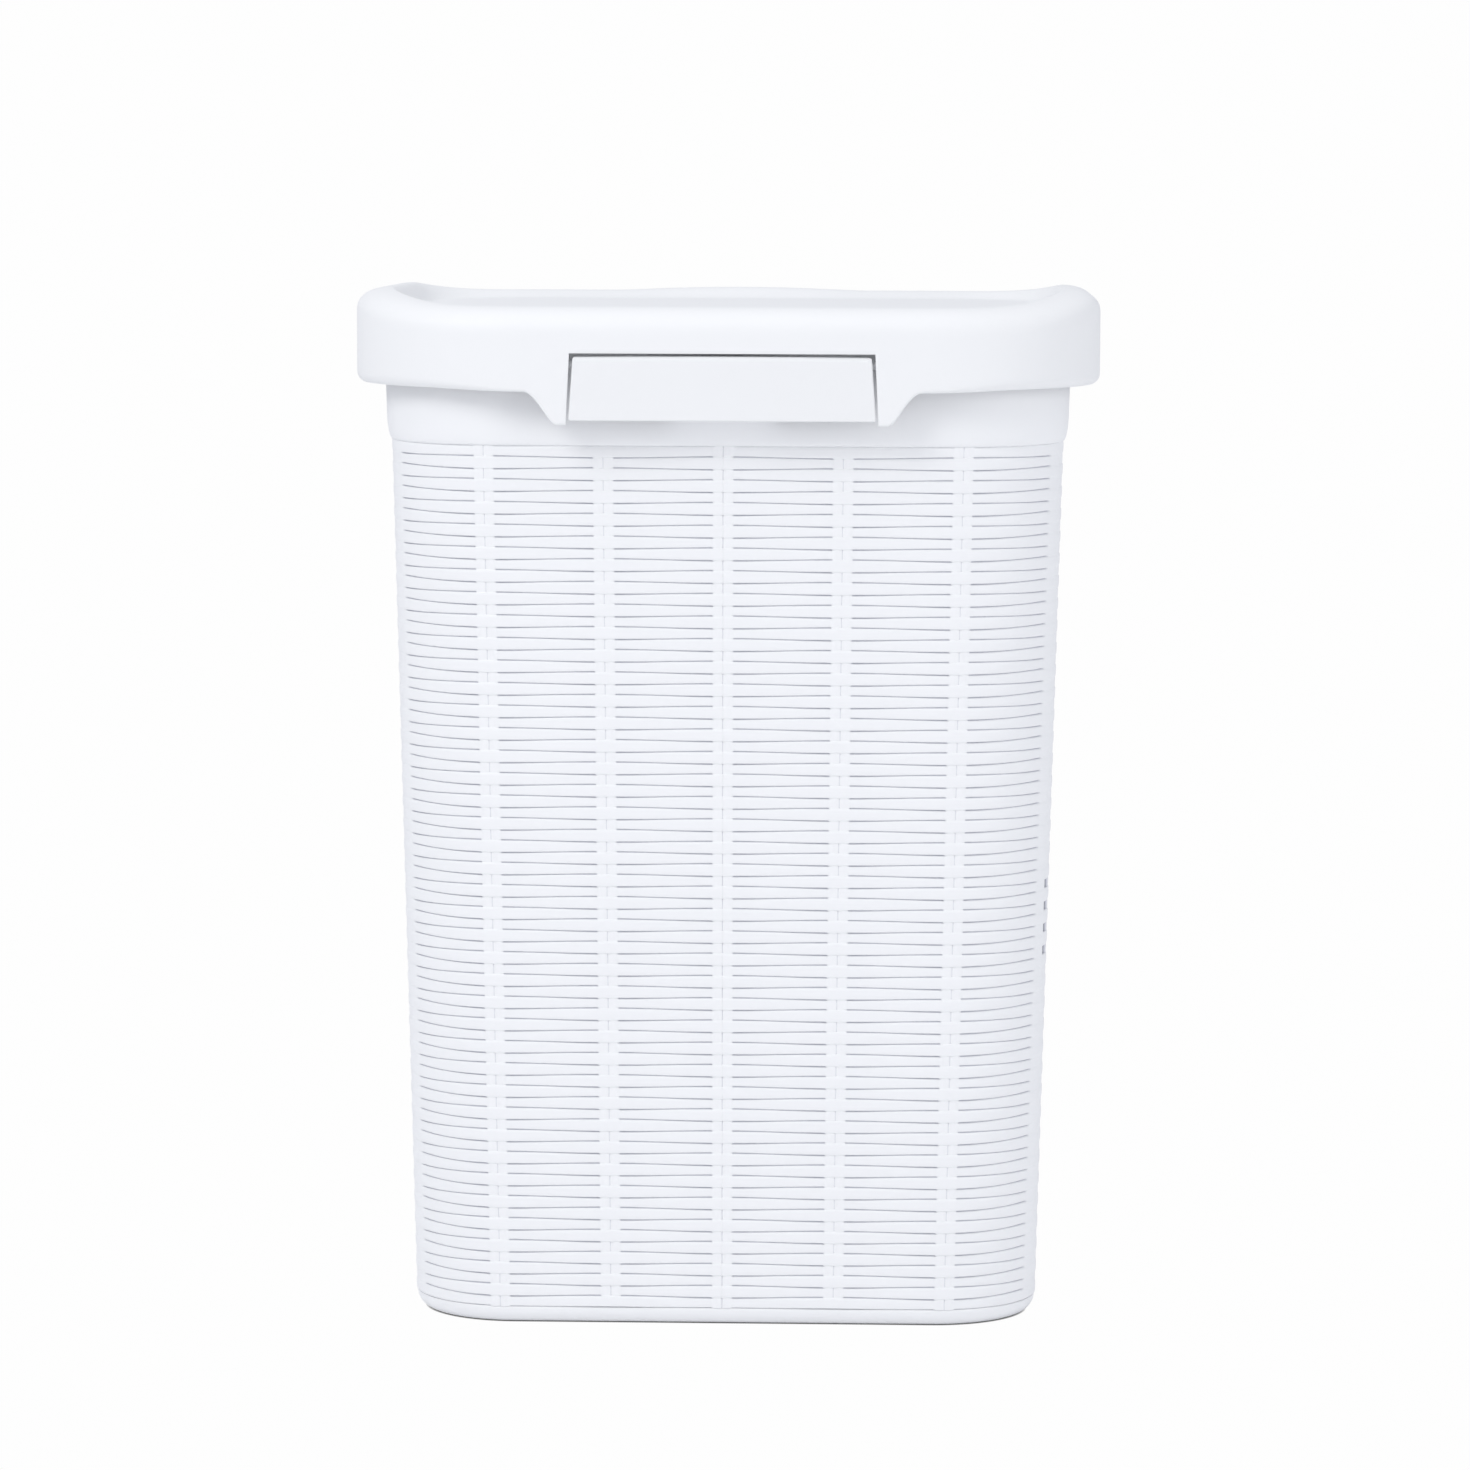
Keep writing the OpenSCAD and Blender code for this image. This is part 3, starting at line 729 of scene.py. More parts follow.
def weave_surface(wall, first, last):
    """The outer face of the wall from one stake to another, and how much painted shade each point gets in the
    grooves.

    Along the wall it is a function of the distance round, and up the wall of the place in each strand. The
    face is the higher of two: the strand, which is the lift times the cosine from stake to stake plus a crown
    across the strand, and the stake's two rods, each a parabola across its width. A corner's stake is one
    flat band. Grooves are cut along the strands' edges, and the slots last.
    """
    w = wall.weave
    rows, columns = Rows(wall), Columns(first, last)
    s, q, beside, round_wall = along_wall(wall, rows, columns)
    over_left = passes_over(rows.strand, columns.left)
    over = passes_over(rows.strand, columns.nearest)
    wave = np.cos(np.pi * q)
    taper = smooth_step((beside - TAPER_START) / TAPER_LENGTH)

    # heights: the grooves widen towards the stakes, and the strands' edges sway
    reach = rows.reach * np.where(rows.reach < WIDENING, 1.2 - 0.5 * taper, 1.0)
    inside = rows.inside(reach)
    sway_top = np.where(rows.strand == 0, 0.0, w.sway) * over_left * wave
    sway_low = np.where(rows.strand >= w.strands - 1, 0.0, -w.sway) * over_left * wave
    z = wall.top - (rows.strand + inside) * rows.height + sway_top * (1 - inside) + sway_low * inside
    z[-1] = wall.foot

    # the strands
    calmed = w.corner_lift + (1 - w.corner_lift) * (1 - np.abs(1 - 2 * q))
    lift = w.lift * np.where(columns.is_corner, calmed, 1.0)
    body = lift * over_left * wave + w.crown * 4 * inside * (1 - inside)
    fall = np.where(rows.from_next, 0.5, 1.0) * w.roundness
    body = body - fall * np.clip(1 - reach / EDGE_ROUND, 0, 1) ** 2

    # the stakes
    in_slit = (beside < SLIT_HALF) & ~columns.is_corner
    rods = ROD_PROUD - ROD_ROUND * (beside / (w.rod / 2) - 1) ** 2
    rods = np.where(columns.is_corner, 0.0, rods)
    rods = np.where(in_slit, rods - w.slit, rods)
    out = np.where(beside < w.rod + TINY, np.maximum(body, rods), body)

    # the grooves, and the painted shade in them and in the stakes' slits, darkest at a groove's bottom
    cut = groove_places(rows, reach, beside, over)
    depth = w.groove * (1 - 0.25 * taper)
    out = out * (1 - cut) + (np.minimum(body, 0) * 0.3 - depth) * cut
    at_edge = reach < TINY
    crevice = cut * np.where(at_edge, 1.0, 0.7)
    crevice = np.maximum(crevice, np.where(in_slit & (over < 0) & ~at_edge, 0.6, 0.0))

    # the slots, told by a painted shade value past 1: their floors are painted near black for the dark seen
    # into them
    slot = slot_places(wall, rows, columns, reach)
    out = np.where(slot, -SLOT_DEPTH, out)
    crevice = np.where(slot, 2.0, crevice)
    s = np.where(s > round_wall / 2, s - round_wall, s)
    return s, z, out, crevice


def weave_piece(name, wall, first, last):
    """A closed piece of woven wall: the woven face, a smooth inner face, and the edges that join them."""
    s, z, out, crevice = weave_surface(wall, first, last)
    rows, columns = s.shape
    inner_z = np.stack([np.full(columns, wall.top), np.full(columns, wall.foot)])
    inner_s = np.stack([s[0], s[-1]])
    outer = wall.point(s, z, out).reshape(-1, 3)
    inner = wall.point(inner_s, inner_z, np.full(inner_s.shape, -wall.weave.wall)).reshape(-1, 3)

    number = np.arange(rows * columns).reshape(rows, columns)
    back = rows * columns + np.arange(2 * columns).reshape(2, columns)

    def quads(grid):
        return np.stack([grid[:-1, :-1], grid[1:, :-1], grid[1:, 1:], grid[:-1, 1:]], -1).reshape(-1, 4)

    strips = [quads(number), quads(np.stack([back[0], number[0]]))]
    strips += [quads(np.stack([number[-1], back[1]])), quads(back[::-1])]
    groups = [(strips[0], True), (np.concatenate(strips[1:3]), False), (strips[3], True)]
    groups.append((np.append(number[:, 0], back[::-1, 0])[None, ::-1], False))
    groups.append((np.append(number[:, -1], back[::-1, -1])[None], False))
    uv = np.stack([np.append(s.ravel(), inner_s.ravel()), np.append(z.ravel(), inner_z.ravel())], -1)
    # painted shade for the grooves, slits and slots, kept as a value on each point
    values = {"crevice": np.append(crevice.ravel(), np.zeros(2 * columns))}
    return make_object(name, Shell(np.concatenate([outer, inner]), groups), uv=uv, values=values)


class HAMPER_OT_weave(bpy.types.Operator):
    """Builds the woven wall in four pieces that meet along the slits of four stakes"""

    bl_idname = "hamper.weave"
    bl_label = "Woven Wall"

    def execute(self, context):
        wall = Wall(context.scene.hamper_weave)
        spans = {
            "weave_front_right": (0, 5, ["wall_front", "corner_front_right"]),
            "weave_back_right": (5, 9, ["wall_right", "corner_back_right"]),
            "weave_back_left": (9, 13, ["wall_back", "corner_back_left"]),
            "weave_front_left": (13, 18, ["wall_left", "corner_front_left"]),
        }
        for name, (first, last, nodes) in spans.items():
            piece = weave_piece(name, wall, first, last)
            place_piece(piece, "tub", "tub_plastic", nodes)
        return {"FINISHED"}


# ---------------------------------------------------------------- foot, neck and rim


class HAMPER_OT_foot(bpy.types.Operator):
    """Builds the plain band that the tub stands on, and the floor plate inside it"""

    bl_idname = "hamper.foot"
    bl_label = "Foot and Floor"

    def execute(self, context):
        radius = context.scene.hamper_weave.foot_radius
        cx = edge("foot_band", HIGH, X) - radius
        cy = edge("foot_band", HIGH, Y) - radius
        wall = radius - (edge("foot_band", HIGH, X) - edge("floor", HIGH, X))
        high = edge("foot_band", HIGH, Z)
        tuck, thick = 9 * MM, 3.2 * MM
        turn = np.radians(np.linspace(0, 90, 13))
        outer = np.stack([radius - tuck * (1 - np.cos(turn)), high * (1 - np.sin(turn))], -1)
        sole_in = radius - tuck - thick
        inner = [[sole_in, 0], [sole_in, 2.5 * MM], [wall - 2 * MM, high - 3 * MM]]
        band = np.concatenate([outer, inner, [[wall, high]]])
        foot = sweep(carried(cx, cy, band), closed=True, flat=(len(band) - 1,))
        place_piece(make_object("foot_ring", foot), "tub", "tub_plastic", ["foot_band"])
        low, top = edge("floor", LOW, Z), edge("floor", HIGH, Z)
        step, lip = 1.2 * MM, 9 * MM
        middle = wall - 24 * MM
        sole = [
            [middle, low], [wall - 0.6 * MM, low], [wall, low + 0.6 * MM], [wall, top - 0.3 * MM],
            [wall - 0.3 * MM, top], [wall - lip, top], [wall - lip - step, top - 0.3 * MM],
            [wall - lip - 2.5 * step, top - 0.6 * MM], [middle, top - 0.6 * MM],
        ]
        place_piece(make_object("floor_plate", plate(cx, cy, sole)), "tub", "tub_plastic", ["floor"])
        return {"FINISHED"}


class HAMPER_OT_neck(bpy.types.Operator):
    """Builds the smooth neck, the rim flange round the mouth and the bead that faces the latch's catch"""

    bl_idname = "hamper.neck"
    bl_label = "Neck and Rim"

    def execute(self, context):
        wall = Wall(context.scene.hamper_weave)
        cx, cy = wall.top_half - wall.top_r
        low, high = edge("neck_band", LOW, Z), edge("neck_band", HIGH, Z)
        top_r = edge("neck_band", HIGH, X) - cx
        neck_t, bulge_h = 2.6 * MM, 18 * MM
        turn = np.radians(np.linspace(-90, 0, 9))
        proud = 3.3 * MM
        bulge = np.stack([wall.top_r + proud * np.cos(turn), low + bulge_h * (1 + np.sin(turn))], -1)
        rise = np.linspace(low + bulge_h + 3 * MM, high, 8)
        flare = top_r - wall.top_r - proud
        part = (rise - low - bulge_h) / (high - low - bulge_h)
        side = np.stack([wall.top_r + proud + flare * part, rise], -1)
        inside = [[top_r - neck_t, high], [wall.top_r + proud - neck_t, low + bulge_h + neck_t]]
        profile = np.concatenate([bulge, side, inside, [[wall.top_r - wall.weave.wall, low]]])
        neck = sweep(carried(cx, cy, profile, 24), closed=True, flat=(len(bulge) + len(side) - 1,))
        place_piece(make_object("neck", neck), "tub", "tub_plastic", ["neck_band"])

        rim_z, rim_top = edge("tub_rim", LOW, Z), edge("tub_rim", HIGH, Z)
        out = edge("tub_rim", HIGH, X) - cx
        lip = out - 2 * MM
        flange = [
            [top_r - neck_t, high], [lip, high], [lip, rim_z], [out, rim_z], [out, rim_top],
            [top_r - neck_t, rim_top],
        ]
        piece = make_object("rim_flange", ring(cx, cy, flange, 0.9 * MM))
        place_piece(piece, "tub", "tub_plastic", ["tub_rim"])

        y, z = [edge("catch_bead", LOW, Y), edge("catch_bead", HIGH, Y)], edge("catch_bead", LOW, Z)
        bead = [[y[1], z], [y[0], z + 1 * MM], [y[0], z + 4 * MM], [y[1], z + 7 * MM]]
        half = edge("catch_bead", HIGH, X)
        piece = make_object("bead", bar(-half, half, bead, 0.5 * MM, 0.8 * MM))
        place_piece(piece, "tub", "tub_plastic", ["catch_bead"])
        return {"FINISHED"}


# ---------------------------------------------------------------- hinge


class HAMPER_OT_hinge(bpy.types.Operator):
    """Builds the two hinge brackets on the tub, the pin in them and the lid's knuckle between them"""

    bl_idname = "hamper.hinge"
    bl_label = "Hinge"

    def execute(self, context):
        _, y, z = joint("lid_hinge")
        centre = np.array([y, z])
        r = edge("hinge_bracket_right", HIGH, Y) - y
        pin_r = edge("hinge_pin", HIGH, Z) - z
        x0, x1 = edge("hinge_bracket_right", LOW, X), edge("hinge_bracket_right", HIGH, X)
        neck_y, low = edge("hinge_bracket_right", LOW, Y), edge("hinge_bracket_right", LOW, Z)
        foot_top = low + 18 * MM
        bevel = 0.6 * MM
        eye = centre + circle(r, 48)
        arm = [
            [neck_y, low], [y + r, foot_top - 6 * MM], [y + r, z - pin_r - 1.2 * MM],
            [y - r, z - pin_r - 1.2 * MM], [y - r, foot_top], [neck_y, foot_top],
        ]
        right = [bored_bar(x0, x1, eye, centre, pin_r, bevel, 0.1 * MM), bar(x0, x1, arm, bevel, 1.5 * MM)]
        left = [mirrored(s) for s in right]
        for name, shells in (("hinge_bracket_right", right), ("hinge_bracket_left", left)):
            place_piece(make_object("tub_" + name, *shells), "tub", "tub_plastic", [name])

        half = edge("hinge_pin", HIGH, X)
        pin = rod(-half, half, centre, pin_r, 0.6 * MM)
        place_piece(make_object("pin", pin), "tub", "pin_plastic", ["hinge_pin"])

        back = edge("lid_knuckle", LOW, Y)
        half = edge("lid_knuckle", HIGH, X)
        turn = np.radians(np.linspace(-90, 90, 25))
        nose = centre + r * np.stack([np.cos(turn), np.sin(turn)], -1)
        top_side = np.linspace([y - 2 * MM, z + r], [back, z + r], 5)
        back_side = np.linspace([back, z + r - 3 * MM], [back, z - r + 3 * MM], 5)
        low_side = np.linspace([back, z - r], [y - 2 * MM, z - r], 5)
        outline = np.concatenate([nose, top_side, back_side, low_side])
        knuckle = bored_bar(-half, half, outline, centre, pin_r + 0.05 * MM, bevel, 0.1 * MM)
        place_piece(make_object("knuckle", knuckle), "lid", "lid_plastic", ["lid_knuckle"])
        return {"FINISHED"}


# ---------------------------------------------------------------- lid


class HAMPER_OT_lid(bpy.types.Operator):
    """Builds the lid's shell, with its dish, its skirt, the latch's notch and the two ears"""

    bl_idname = "hamper.lid"
    bl_label = "Lid"

    def execute(self, context):
        shell = lid_shell(context.scene.hamper_lid)
        piece = make_object("lid_shell", shell)
        bevel = piece.modifiers.new("Rounded edges", "BEVEL")
        bevel.width = 0.5 * MM
        bevel.segments = 2
        bevel.limit_method = "ANGLE"
        bevel.angle_limit = np.radians(48)
        nodes = [n for n in frame["nodes"] if n.startswith("skirt_")] + ["lid_panel", "lid_rim"]
        place_piece(piece, "lid", "lid_plastic", sorted(nodes))
        return {"FINISHED"}


class LidOutline:
    """The lid's columns, round a rounded rectangle from the middle of the front.

    Each has a centre, at which the outline's corners turn, and an outward direction. The front is divided at
    the latch's notch and along the ears' curved sides.
    """

    def __init__(self, lid):
        cx, cy = edge("skirt_back", HIGH, X), edge("skirt_right", HIGH, Y)
        self.cx, self.cy = cx, cy
        self.r = edge("skirt_right", HIGH, X) - cx
        self.notch = edge("latch_plate", HIGH, X) + 1.4 * MM
        self.notch_low = edge("latch_plate", LOW, Z)
        self.notch_top = edge("latch_plate", HIGH, Z) + 2 * MM
        self.ear_end = self.notch + lid.ear_flat

        half_front = np.concatenate([
            np.linspace(0, 0.92, 7) * self.notch, [self.notch],
            np.linspace(self.notch, self.ear_end, 4)[1:],
            self.ear_end + lid.ear_curve * np.linspace(0, 1, 13)[1:], [cx],
        ])
        quarter = np.linspace(0, np.pi / 2, 25)
        side = np.linspace(-cy, cy, 9)[1:-1]
        back = np.linspace(cx, -cx, 17)[1:-1]
        turns, sides, fronts = len(quarter), len(side), len(half_front)
        self.x = np.concatenate([
            half_front[:-1], np.full(2 * turns + sides, cx), back,
            np.full(2 * turns + sides, -cx), -half_front[::-1][1:-1],
        ])
        self.y = np.concatenate([
            np.full(fronts - 1 + turns, -cy), side, np.full(2 * turns + len(back), cy),
            side[::-1], np.full(turns + fronts - 2, -cy),
        ])
        turn = np.concatenate([
            np.zeros(fronts - 1), quarter, np.full(sides, np.pi / 2), quarter + np.pi / 2,
            np.full(len(back), np.pi), quarter + np.pi, np.full(sides, 1.5 * np.pi), quarter + 1.5 * np.pi,
            np.full(fronts - 2, 2 * np.pi),
        ])
        self.out_x, self.out_y = np.sin(turn), -np.cos(turn)
        self.across = np.abs(self.x)
        self.is_front = (self.out_y < -0.999) & (self.y < 0)


CURL_STEPS = 6
SKIRT_STEPS = 10
NOTCH_ROWS = CURL_STEPS + SKIRT_STEPS - 1


def lid_heights(lid, o):
    """Heights that vary round the lid: the skirt's lower edge, the shoulder's own height and the crest.

    The crest goes from its middle height to its side height with the fourth power of the sideways direction,
    falls in line to the back and has a parabolic hump there. An ear's side is a smooth step.
    """
    hump_half, corner_run = 70 * MM, 60 * MM
    crest_out = o.r - lid.shoulder_w
    crest_y = o.y + crest_out * o.out_y
    sideways = o.out_x**4
    crest = lid.crest_mid + (lid.crest_side - lid.crest_mid) * sideways
    crest = crest - lid.fall * crest_y / (o.cy + o.r - lid.shoulder_w) * (1 + 2 * sideways)
    crest = crest + lid.hump * np.clip(1 - (o.across / hump_half) ** 2, 0, 1) * (o.out_y > 0.99)
    shoulder_h = lid.shoulder_h - 2 * MM * sideways

    skirt_z, ear_z = edge("skirt_back", LOW, Z), edge("skirt_front", LOW, Z)
    ear = smooth_step(np.clip((o.across - o.ear_end) / lid.ear_curve, 0, 1) ** 0.8)
    raised = lid.side_rise * smooth_step((np.abs(o.x + o.r * o.out_x) - o.cx) / corner_run)
    low = skirt_z + raised - np.where(o.is_front, (skirt_z - ear_z) * (1 - ear), 0.0)
    return low, shoulder_h, crest


def lid_profile(lid, o):
    """Distances out and heights of the lid's outer face, a row for each step from the skirt's edge inwards.

    The rows run round the curled edge, up the skirt, round an elliptical shoulder to the crest, down a cosine
    slope and over the dish.
    """
    low, shoulder_h, crest = lid_heights(lid, o)
    shoulder_z = crest - shoulder_h
    crest_x = np.abs(o.x + (o.r - lid.shoulder_w) * o.out_x)
    curl = np.radians(np.linspace(62, 0, CURL_STEPS))
    curl_start, curl_run = 110 * MM, 60 * MM
    tuck = lid.curl + (lid.side_curl - lid.curl) * smooth_step((crest_x - curl_start) / curl_run)
    rows = []
    for angle in curl:
        rows.append((o.r - tuck * (1 - np.cos(angle)), low + tuck * (np.sin(curl[0]) - np.sin(angle))))
    start = low + tuck * np.sin(curl[0])
    for t in np.linspace(0, 1, SKIRT_STEPS + 1)[1:]:
        rows.append((o.r, start + (o.notch_top - start) * t))
    for t in np.linspace(0, 1, 5)[1:]:
        rows.append((o.r, o.notch_top + (shoulder_z - o.notch_top) * t))
    for angle in np.radians(np.linspace(0, 90, 13))[1:]:
        inwards = 1 - np.cos(angle) ** lid.fullness
        rise = np.sin(angle) ** lid.fullness
        rows.append((o.r - lid.shoulder_w * inwards, shoulder_z + shoulder_h * rise))

    crest_out = o.r - lid.shoulder_w
    slope_w = lid.slope_w + (lid.side_slope_w - lid.slope_w) * smooth_step(np.abs(o.out_x) * 1.3)
    for t in np.linspace(0, 1, 13)[1:]:
        fall = (1 - np.cos(np.pi * t)) / 2
        rows.append((crest_out - slope_w * t, crest + (lid.dish - crest) * fall))
    dish_out = crest_out - slope_w
    dish_in = 30 * MM
    for t in np.linspace(0, 1, 7)[1:]:
        rows.append((dish_out + (dish_in - dish_out) * t, lid.dish))
    out = np.stack([np.broadcast_to(distance, o.x.shape) for distance, _ in rows])
    z = np.stack([np.broadcast_to(height, o.x.shape) for _, height in rows])
    return out, z


def within(out, z, thickness):
    """A profile moved in by a thickness, square to its rows."""
    d_out = np.gradient(out, axis=0)
    d_z = np.gradient(z, axis=0)
    size = np.hypot(d_out, d_z)
    return out - thickness * d_z / size, z + thickness * d_out / size


def lid_face(o, out, z):
    """The points of a profile carried round the lid, and on in six shrinking loops to its middle.

    Beside the notch the points lean towards the middle as they rise, and less the farther off they are.
    """
    lean, lean_reach = 1.9 * MM, 8 * MM
    shift = lean * np.clip((z - o.notch_low) / (o.notch_top - o.notch_low), 0, 1)
    near = np.clip(1 - np.abs(o.across - o.notch) / lean_reach, 0, 1) * o.is_front
    x = o.x + out * o.out_x - np.sign(o.x) * shift * near * (z < o.notch_top + 12 * MM)
    grid = np.stack([x, o.y + out * o.out_y, z], -1)

    shrink = np.linspace(1, 0.04, 7)[1:, None]
    last = grid[-1]
    more = np.stack([last[None, :, X] * shrink, last[None, :, Y] * shrink], -1)
    level = np.broadcast_to(last[None, :, Z:], more.shape[:2] + (1,))
    return np.concatenate([grid, np.concatenate([more, level], -1)])


def lid_shell(lid):
    """The lid as one closed shell: an outer face, and an inner face one wall's thickness inside it.

    Faces inside the latch's notch are left out, and the open edges of the two faces are joined.
    """
    o = LidOutline(lid)
    out, z = lid_profile(lid, o)
    outer = lid_face(o, out, z)
    inner = lid_face(o, *within(out, z, lid.wall))

    layers, count = outer.shape[:2]
    inside = layers * count
    number = np.arange(inside).reshape(layers, count)
    after = np.roll(number, -1, 1)
    quads = np.stack([number[:-1], after[:-1], after[1:], number[1:]], -1)
    farther = np.maximum(o.across, np.roll(o.across, -1))
    in_notch = (farther <= o.notch + TINY) & o.is_front & np.roll(o.is_front, -1)
    keep = np.ones(quads.shape[:2], bool)
    keep[:NOTCH_ROWS] = ~in_notch[None]
    quads = quads.reshape(-1, 4)[keep.ravel()]
    cap = number[-1]

    # open edges: those that only one kept face has, joined by a quad between the outer and inner face
    edges = np.concatenate([quads[:, [k, (k + 1) % 4]] for k in range(4)])
    closing = np.stack([cap, np.roll(cap, -1)], -1)[:, ::-1]
    edges = np.concatenate([edges, closing])
    code = np.sort(edges, 1) @ np.array([1, inside])
    _, where, times = np.unique(code, return_index=True, return_counts=True)
    rim = edges[where[times == 1]]
    walls = np.stack([rim[:, 1], rim[:, 0], rim[:, 0] + inside, rim[:, 1] + inside], -1)
    groups = [
        (quads, True), (quads[:, ::-1] + inside, True), (walls, True), (cap[None], False),
        (cap[None, ::-1] + inside, False),
    ]
    vertices = np.concatenate([outer.reshape(-1, 3), inner.reshape(-1, 3)])
    used = np.unique(np.concatenate([f.ravel() for f, _ in groups]))
    renumber = np.zeros(len(vertices), int)
    renumber[used] = np.arange(len(used))
    return Shell(vertices[used], [(renumber[f], s) for f, s in groups])


class HAMPER_OT_lid_fittings(bpy.types.Operator):
    """Builds the rib under the lid that rests on the rim, and the two lugs that carry the latch"""

    bl_idname = "hamper.lid_fittings"
    bl_label = "Lid Fittings"

    def execute(self, context):
        cx, cy = edge("skirt_back", HIGH, X), edge("skirt_right", HIGH, Y)
        out = edge("seat_rib", HIGH, X) - cx
        low, high = edge("seat_rib", LOW, Z), edge("seat_rib", HIGH, Z)
        rib_t = 2.5 * MM
        sunk = high - 6 * MM
        rib = [[out - rib_t, low], [out, low], [out, sunk], [out - rib_t, sunk]]
        seat = make_object("seat", ring(cx, cy, rib, 0.6 * MM))
        place_piece(seat, "lid", "lid_plastic", ["seat_rib"])

        _, y, z = joint("latch_swing")
        x0, x1 = edge("latch_lug_right", LOW, X), edge("latch_lug_right", HIGH, X)
        y0, y1 = edge("latch_lug_right", LOW, Y), edge("latch_lug_right", HIGH, Y)
        z0, z1 = edge("latch_lug_right", LOW, Z), edge("latch_lug_right", HIGH, Z)
        sides = [[y0, z0], [y1, z0], [y1, z1], [y0, z1]]
        outline = np.concatenate([np.linspace(sides[k], sides[(k + 1) % 4], 7)[:-1] for k in range(4)])
        stud = context.scene.hamper_latch.stud_r + 0.05 * MM
        right = bored_bar(x0, x1, outline, np.array([y, z]), stud, 0.4 * MM, 0.1 * MM)
        place_piece(make_object("lug_right", right), "lid", "lid_plastic", ["latch_lug_right"])
        place_piece(make_object("lug_left", mirrored(right)), "lid", "lid_plastic", ["latch_lug_left"])
        return {"FINISHED"}


# ---------------------------------------------------------------- latch


class HAMPER_OT_latch(bpy.types.Operator):
    """Builds the latch's front plate, its catch rib, and the webs and studs that it swings on"""

    bl_idname = "hamper.latch"
    bl_label = "Latch"

    def execute(self, context):
        latch = context.scene.hamper_latch
        place_piece(make_object("latch_front", latch_plate(latch)), "latch", "latch_plastic", ["latch_plate"])

        half = edge("latch_catch", HIGH, X)
        y0, y1 = edge("latch_catch", LOW, Y), edge("latch_catch", HIGH, Y)
        z0, z1 = edge("latch_catch", LOW, Z), edge("latch_catch", HIGH, Z)
        sunk = y0 - 0.5 * MM
        rib = [[sunk, z0], [y1 - 1 * MM, z0], [y1, z0 + 1 * MM], [y1, z1 - 0.5 * MM], [sunk, z1]]
        catch = make_object("catch", bar(-half, half, rib, 0.4 * MM, 0.5 * MM))
        place_piece(catch, "latch", "latch_plastic", ["latch_catch"])

        _, y, z = joint("latch_swing")
        x0, x1 = edge("latch_pivot_right", LOW, X), edge("latch_pivot_right", HIGH, X)
        boss = latch.stud_r + 1.8 * MM
        back = edge("latch_plate", HIGH, Y)
        low = edge("latch_pivot_right", LOW, Z)
        web_t = 3 * MM
        turn = np.radians(np.linspace(-70, 90, 12))
        nose = np.array([y, z]) + boss * np.stack([np.cos(turn), np.sin(turn)], -1)
        root = back - 0.5 * MM
        outline = np.concatenate([[[root, low]], [[y - 0.5 * MM, low]], nose, [[root, z + boss]]])
        web = bar(x0, x0 + web_t, outline, 0.4 * MM, 0.4 * MM)
        stud = rod(x0 + web_t - 0.5 * MM, x1, np.array([y, z]), latch.stud_r, 0.5 * MM)
        right = [web, stud]
        left = [mirrored(s) for s in right]
        for name, shells in (("latch_pivot_right", right), ("latch_pivot_left", left)):
            piece = make_object(name.replace("latch_", "web_"), *shells)
            place_piece(piece, "latch", "latch_plastic", [name])
        return {"FINISHED"}


def latch_plate(latch):
    """The latch's plate: a trapezoid with rounded corners, drawn in along a quarter circle to its front face.

    The circle's radius is larger along the upper edge than along the others. From the back the layers are the
    flat back, its small bevel, the sides and the front fillet; the upper edge bows up in the middle.
    """
    low, high = edge("latch_plate", LOW, Z), edge("latch_plate", HIGH, Z)
    front, back = edge("latch_plate", LOW, Y), edge("latch_plate", HIGH, Y)
    half = edge("latch_plate", HIGH, X)
    top_half = half - latch.taper / 2
    corners = np.array([[-half, low], [half, low], [top_half, high], [-top_half, high]])
    loop = rounded_corners(corners, latch.corner, 24)
    along = np.roll(loop, -1, 0) - np.roll(loop, 1, 0)
    upward = np.clip(-along[:, 0] / np.linalg.norm(along, axis=1), 0, 1)
    radius = latch.edge_round + (latch.top_round - latch.edge_round) * upward**2
    bevel = 0.4 * MM
    layers = [(np.full(len(loop), back), inset(loop, bevel)), (np.full(len(loop), back - bevel), loop)]
    for angle in np.radians(np.linspace(0, 90, 8)):
        drawn = radius * (1 - np.cos(angle))
        layers.append((front + radius * (1 - np.sin(angle)), inset(loop, drawn)))
    rings = np.stack([np.column_stack([p[:, 0], y, p[:, 1]]) for y, p in layers])
    raised = smooth_step((rings[..., Z] - low) / (high - low))
    rings[..., Z] += latch.bow * (1 - (rings[..., X] / half) ** 2) * raised
    return sweep(rings)


def rounded_corners(corners, radius, steps):
    """A closed outline with each corner rounded by a quadratic curve, and its straight sides divided."""
    before, after = np.roll(corners, 1, 0), np.roll(corners, -1, 0)
    to_before = (before - corners) / np.linalg.norm(before - corners, axis=1, keepdims=True)
    to_after = (after - corners) / np.linalg.norm(after - corners, axis=1, keepdims=True)
    t = np.linspace(0, 1, 6)[None, :, None]
    start, stop = corners + to_before * radius, corners + to_after * radius
    bend = (1 - t) ** 2 * start[:, None] + 2 * t * (1 - t) * corners[:, None] + t**2 * stop[:, None]
    u = np.linspace(0, 1, steps + 1)[None, 1:-1, None]
    straight = stop[:, None] * (1 - u) + np.roll(start, -1, 0)[:, None] * u
    return np.concatenate([bend, straight], 1).reshape(-1, 2)


# ---------------------------------------------------------------- stage

LAMP_COLOUR = (1.0, 0.99, 0.968)
SKY_COLOUR = (0.905, 0.932, 1.0, 1)
SURROUND = (0.99, 0.99, 0.99, 1)
LAMPS_FACE = (0, 0, 0.35)


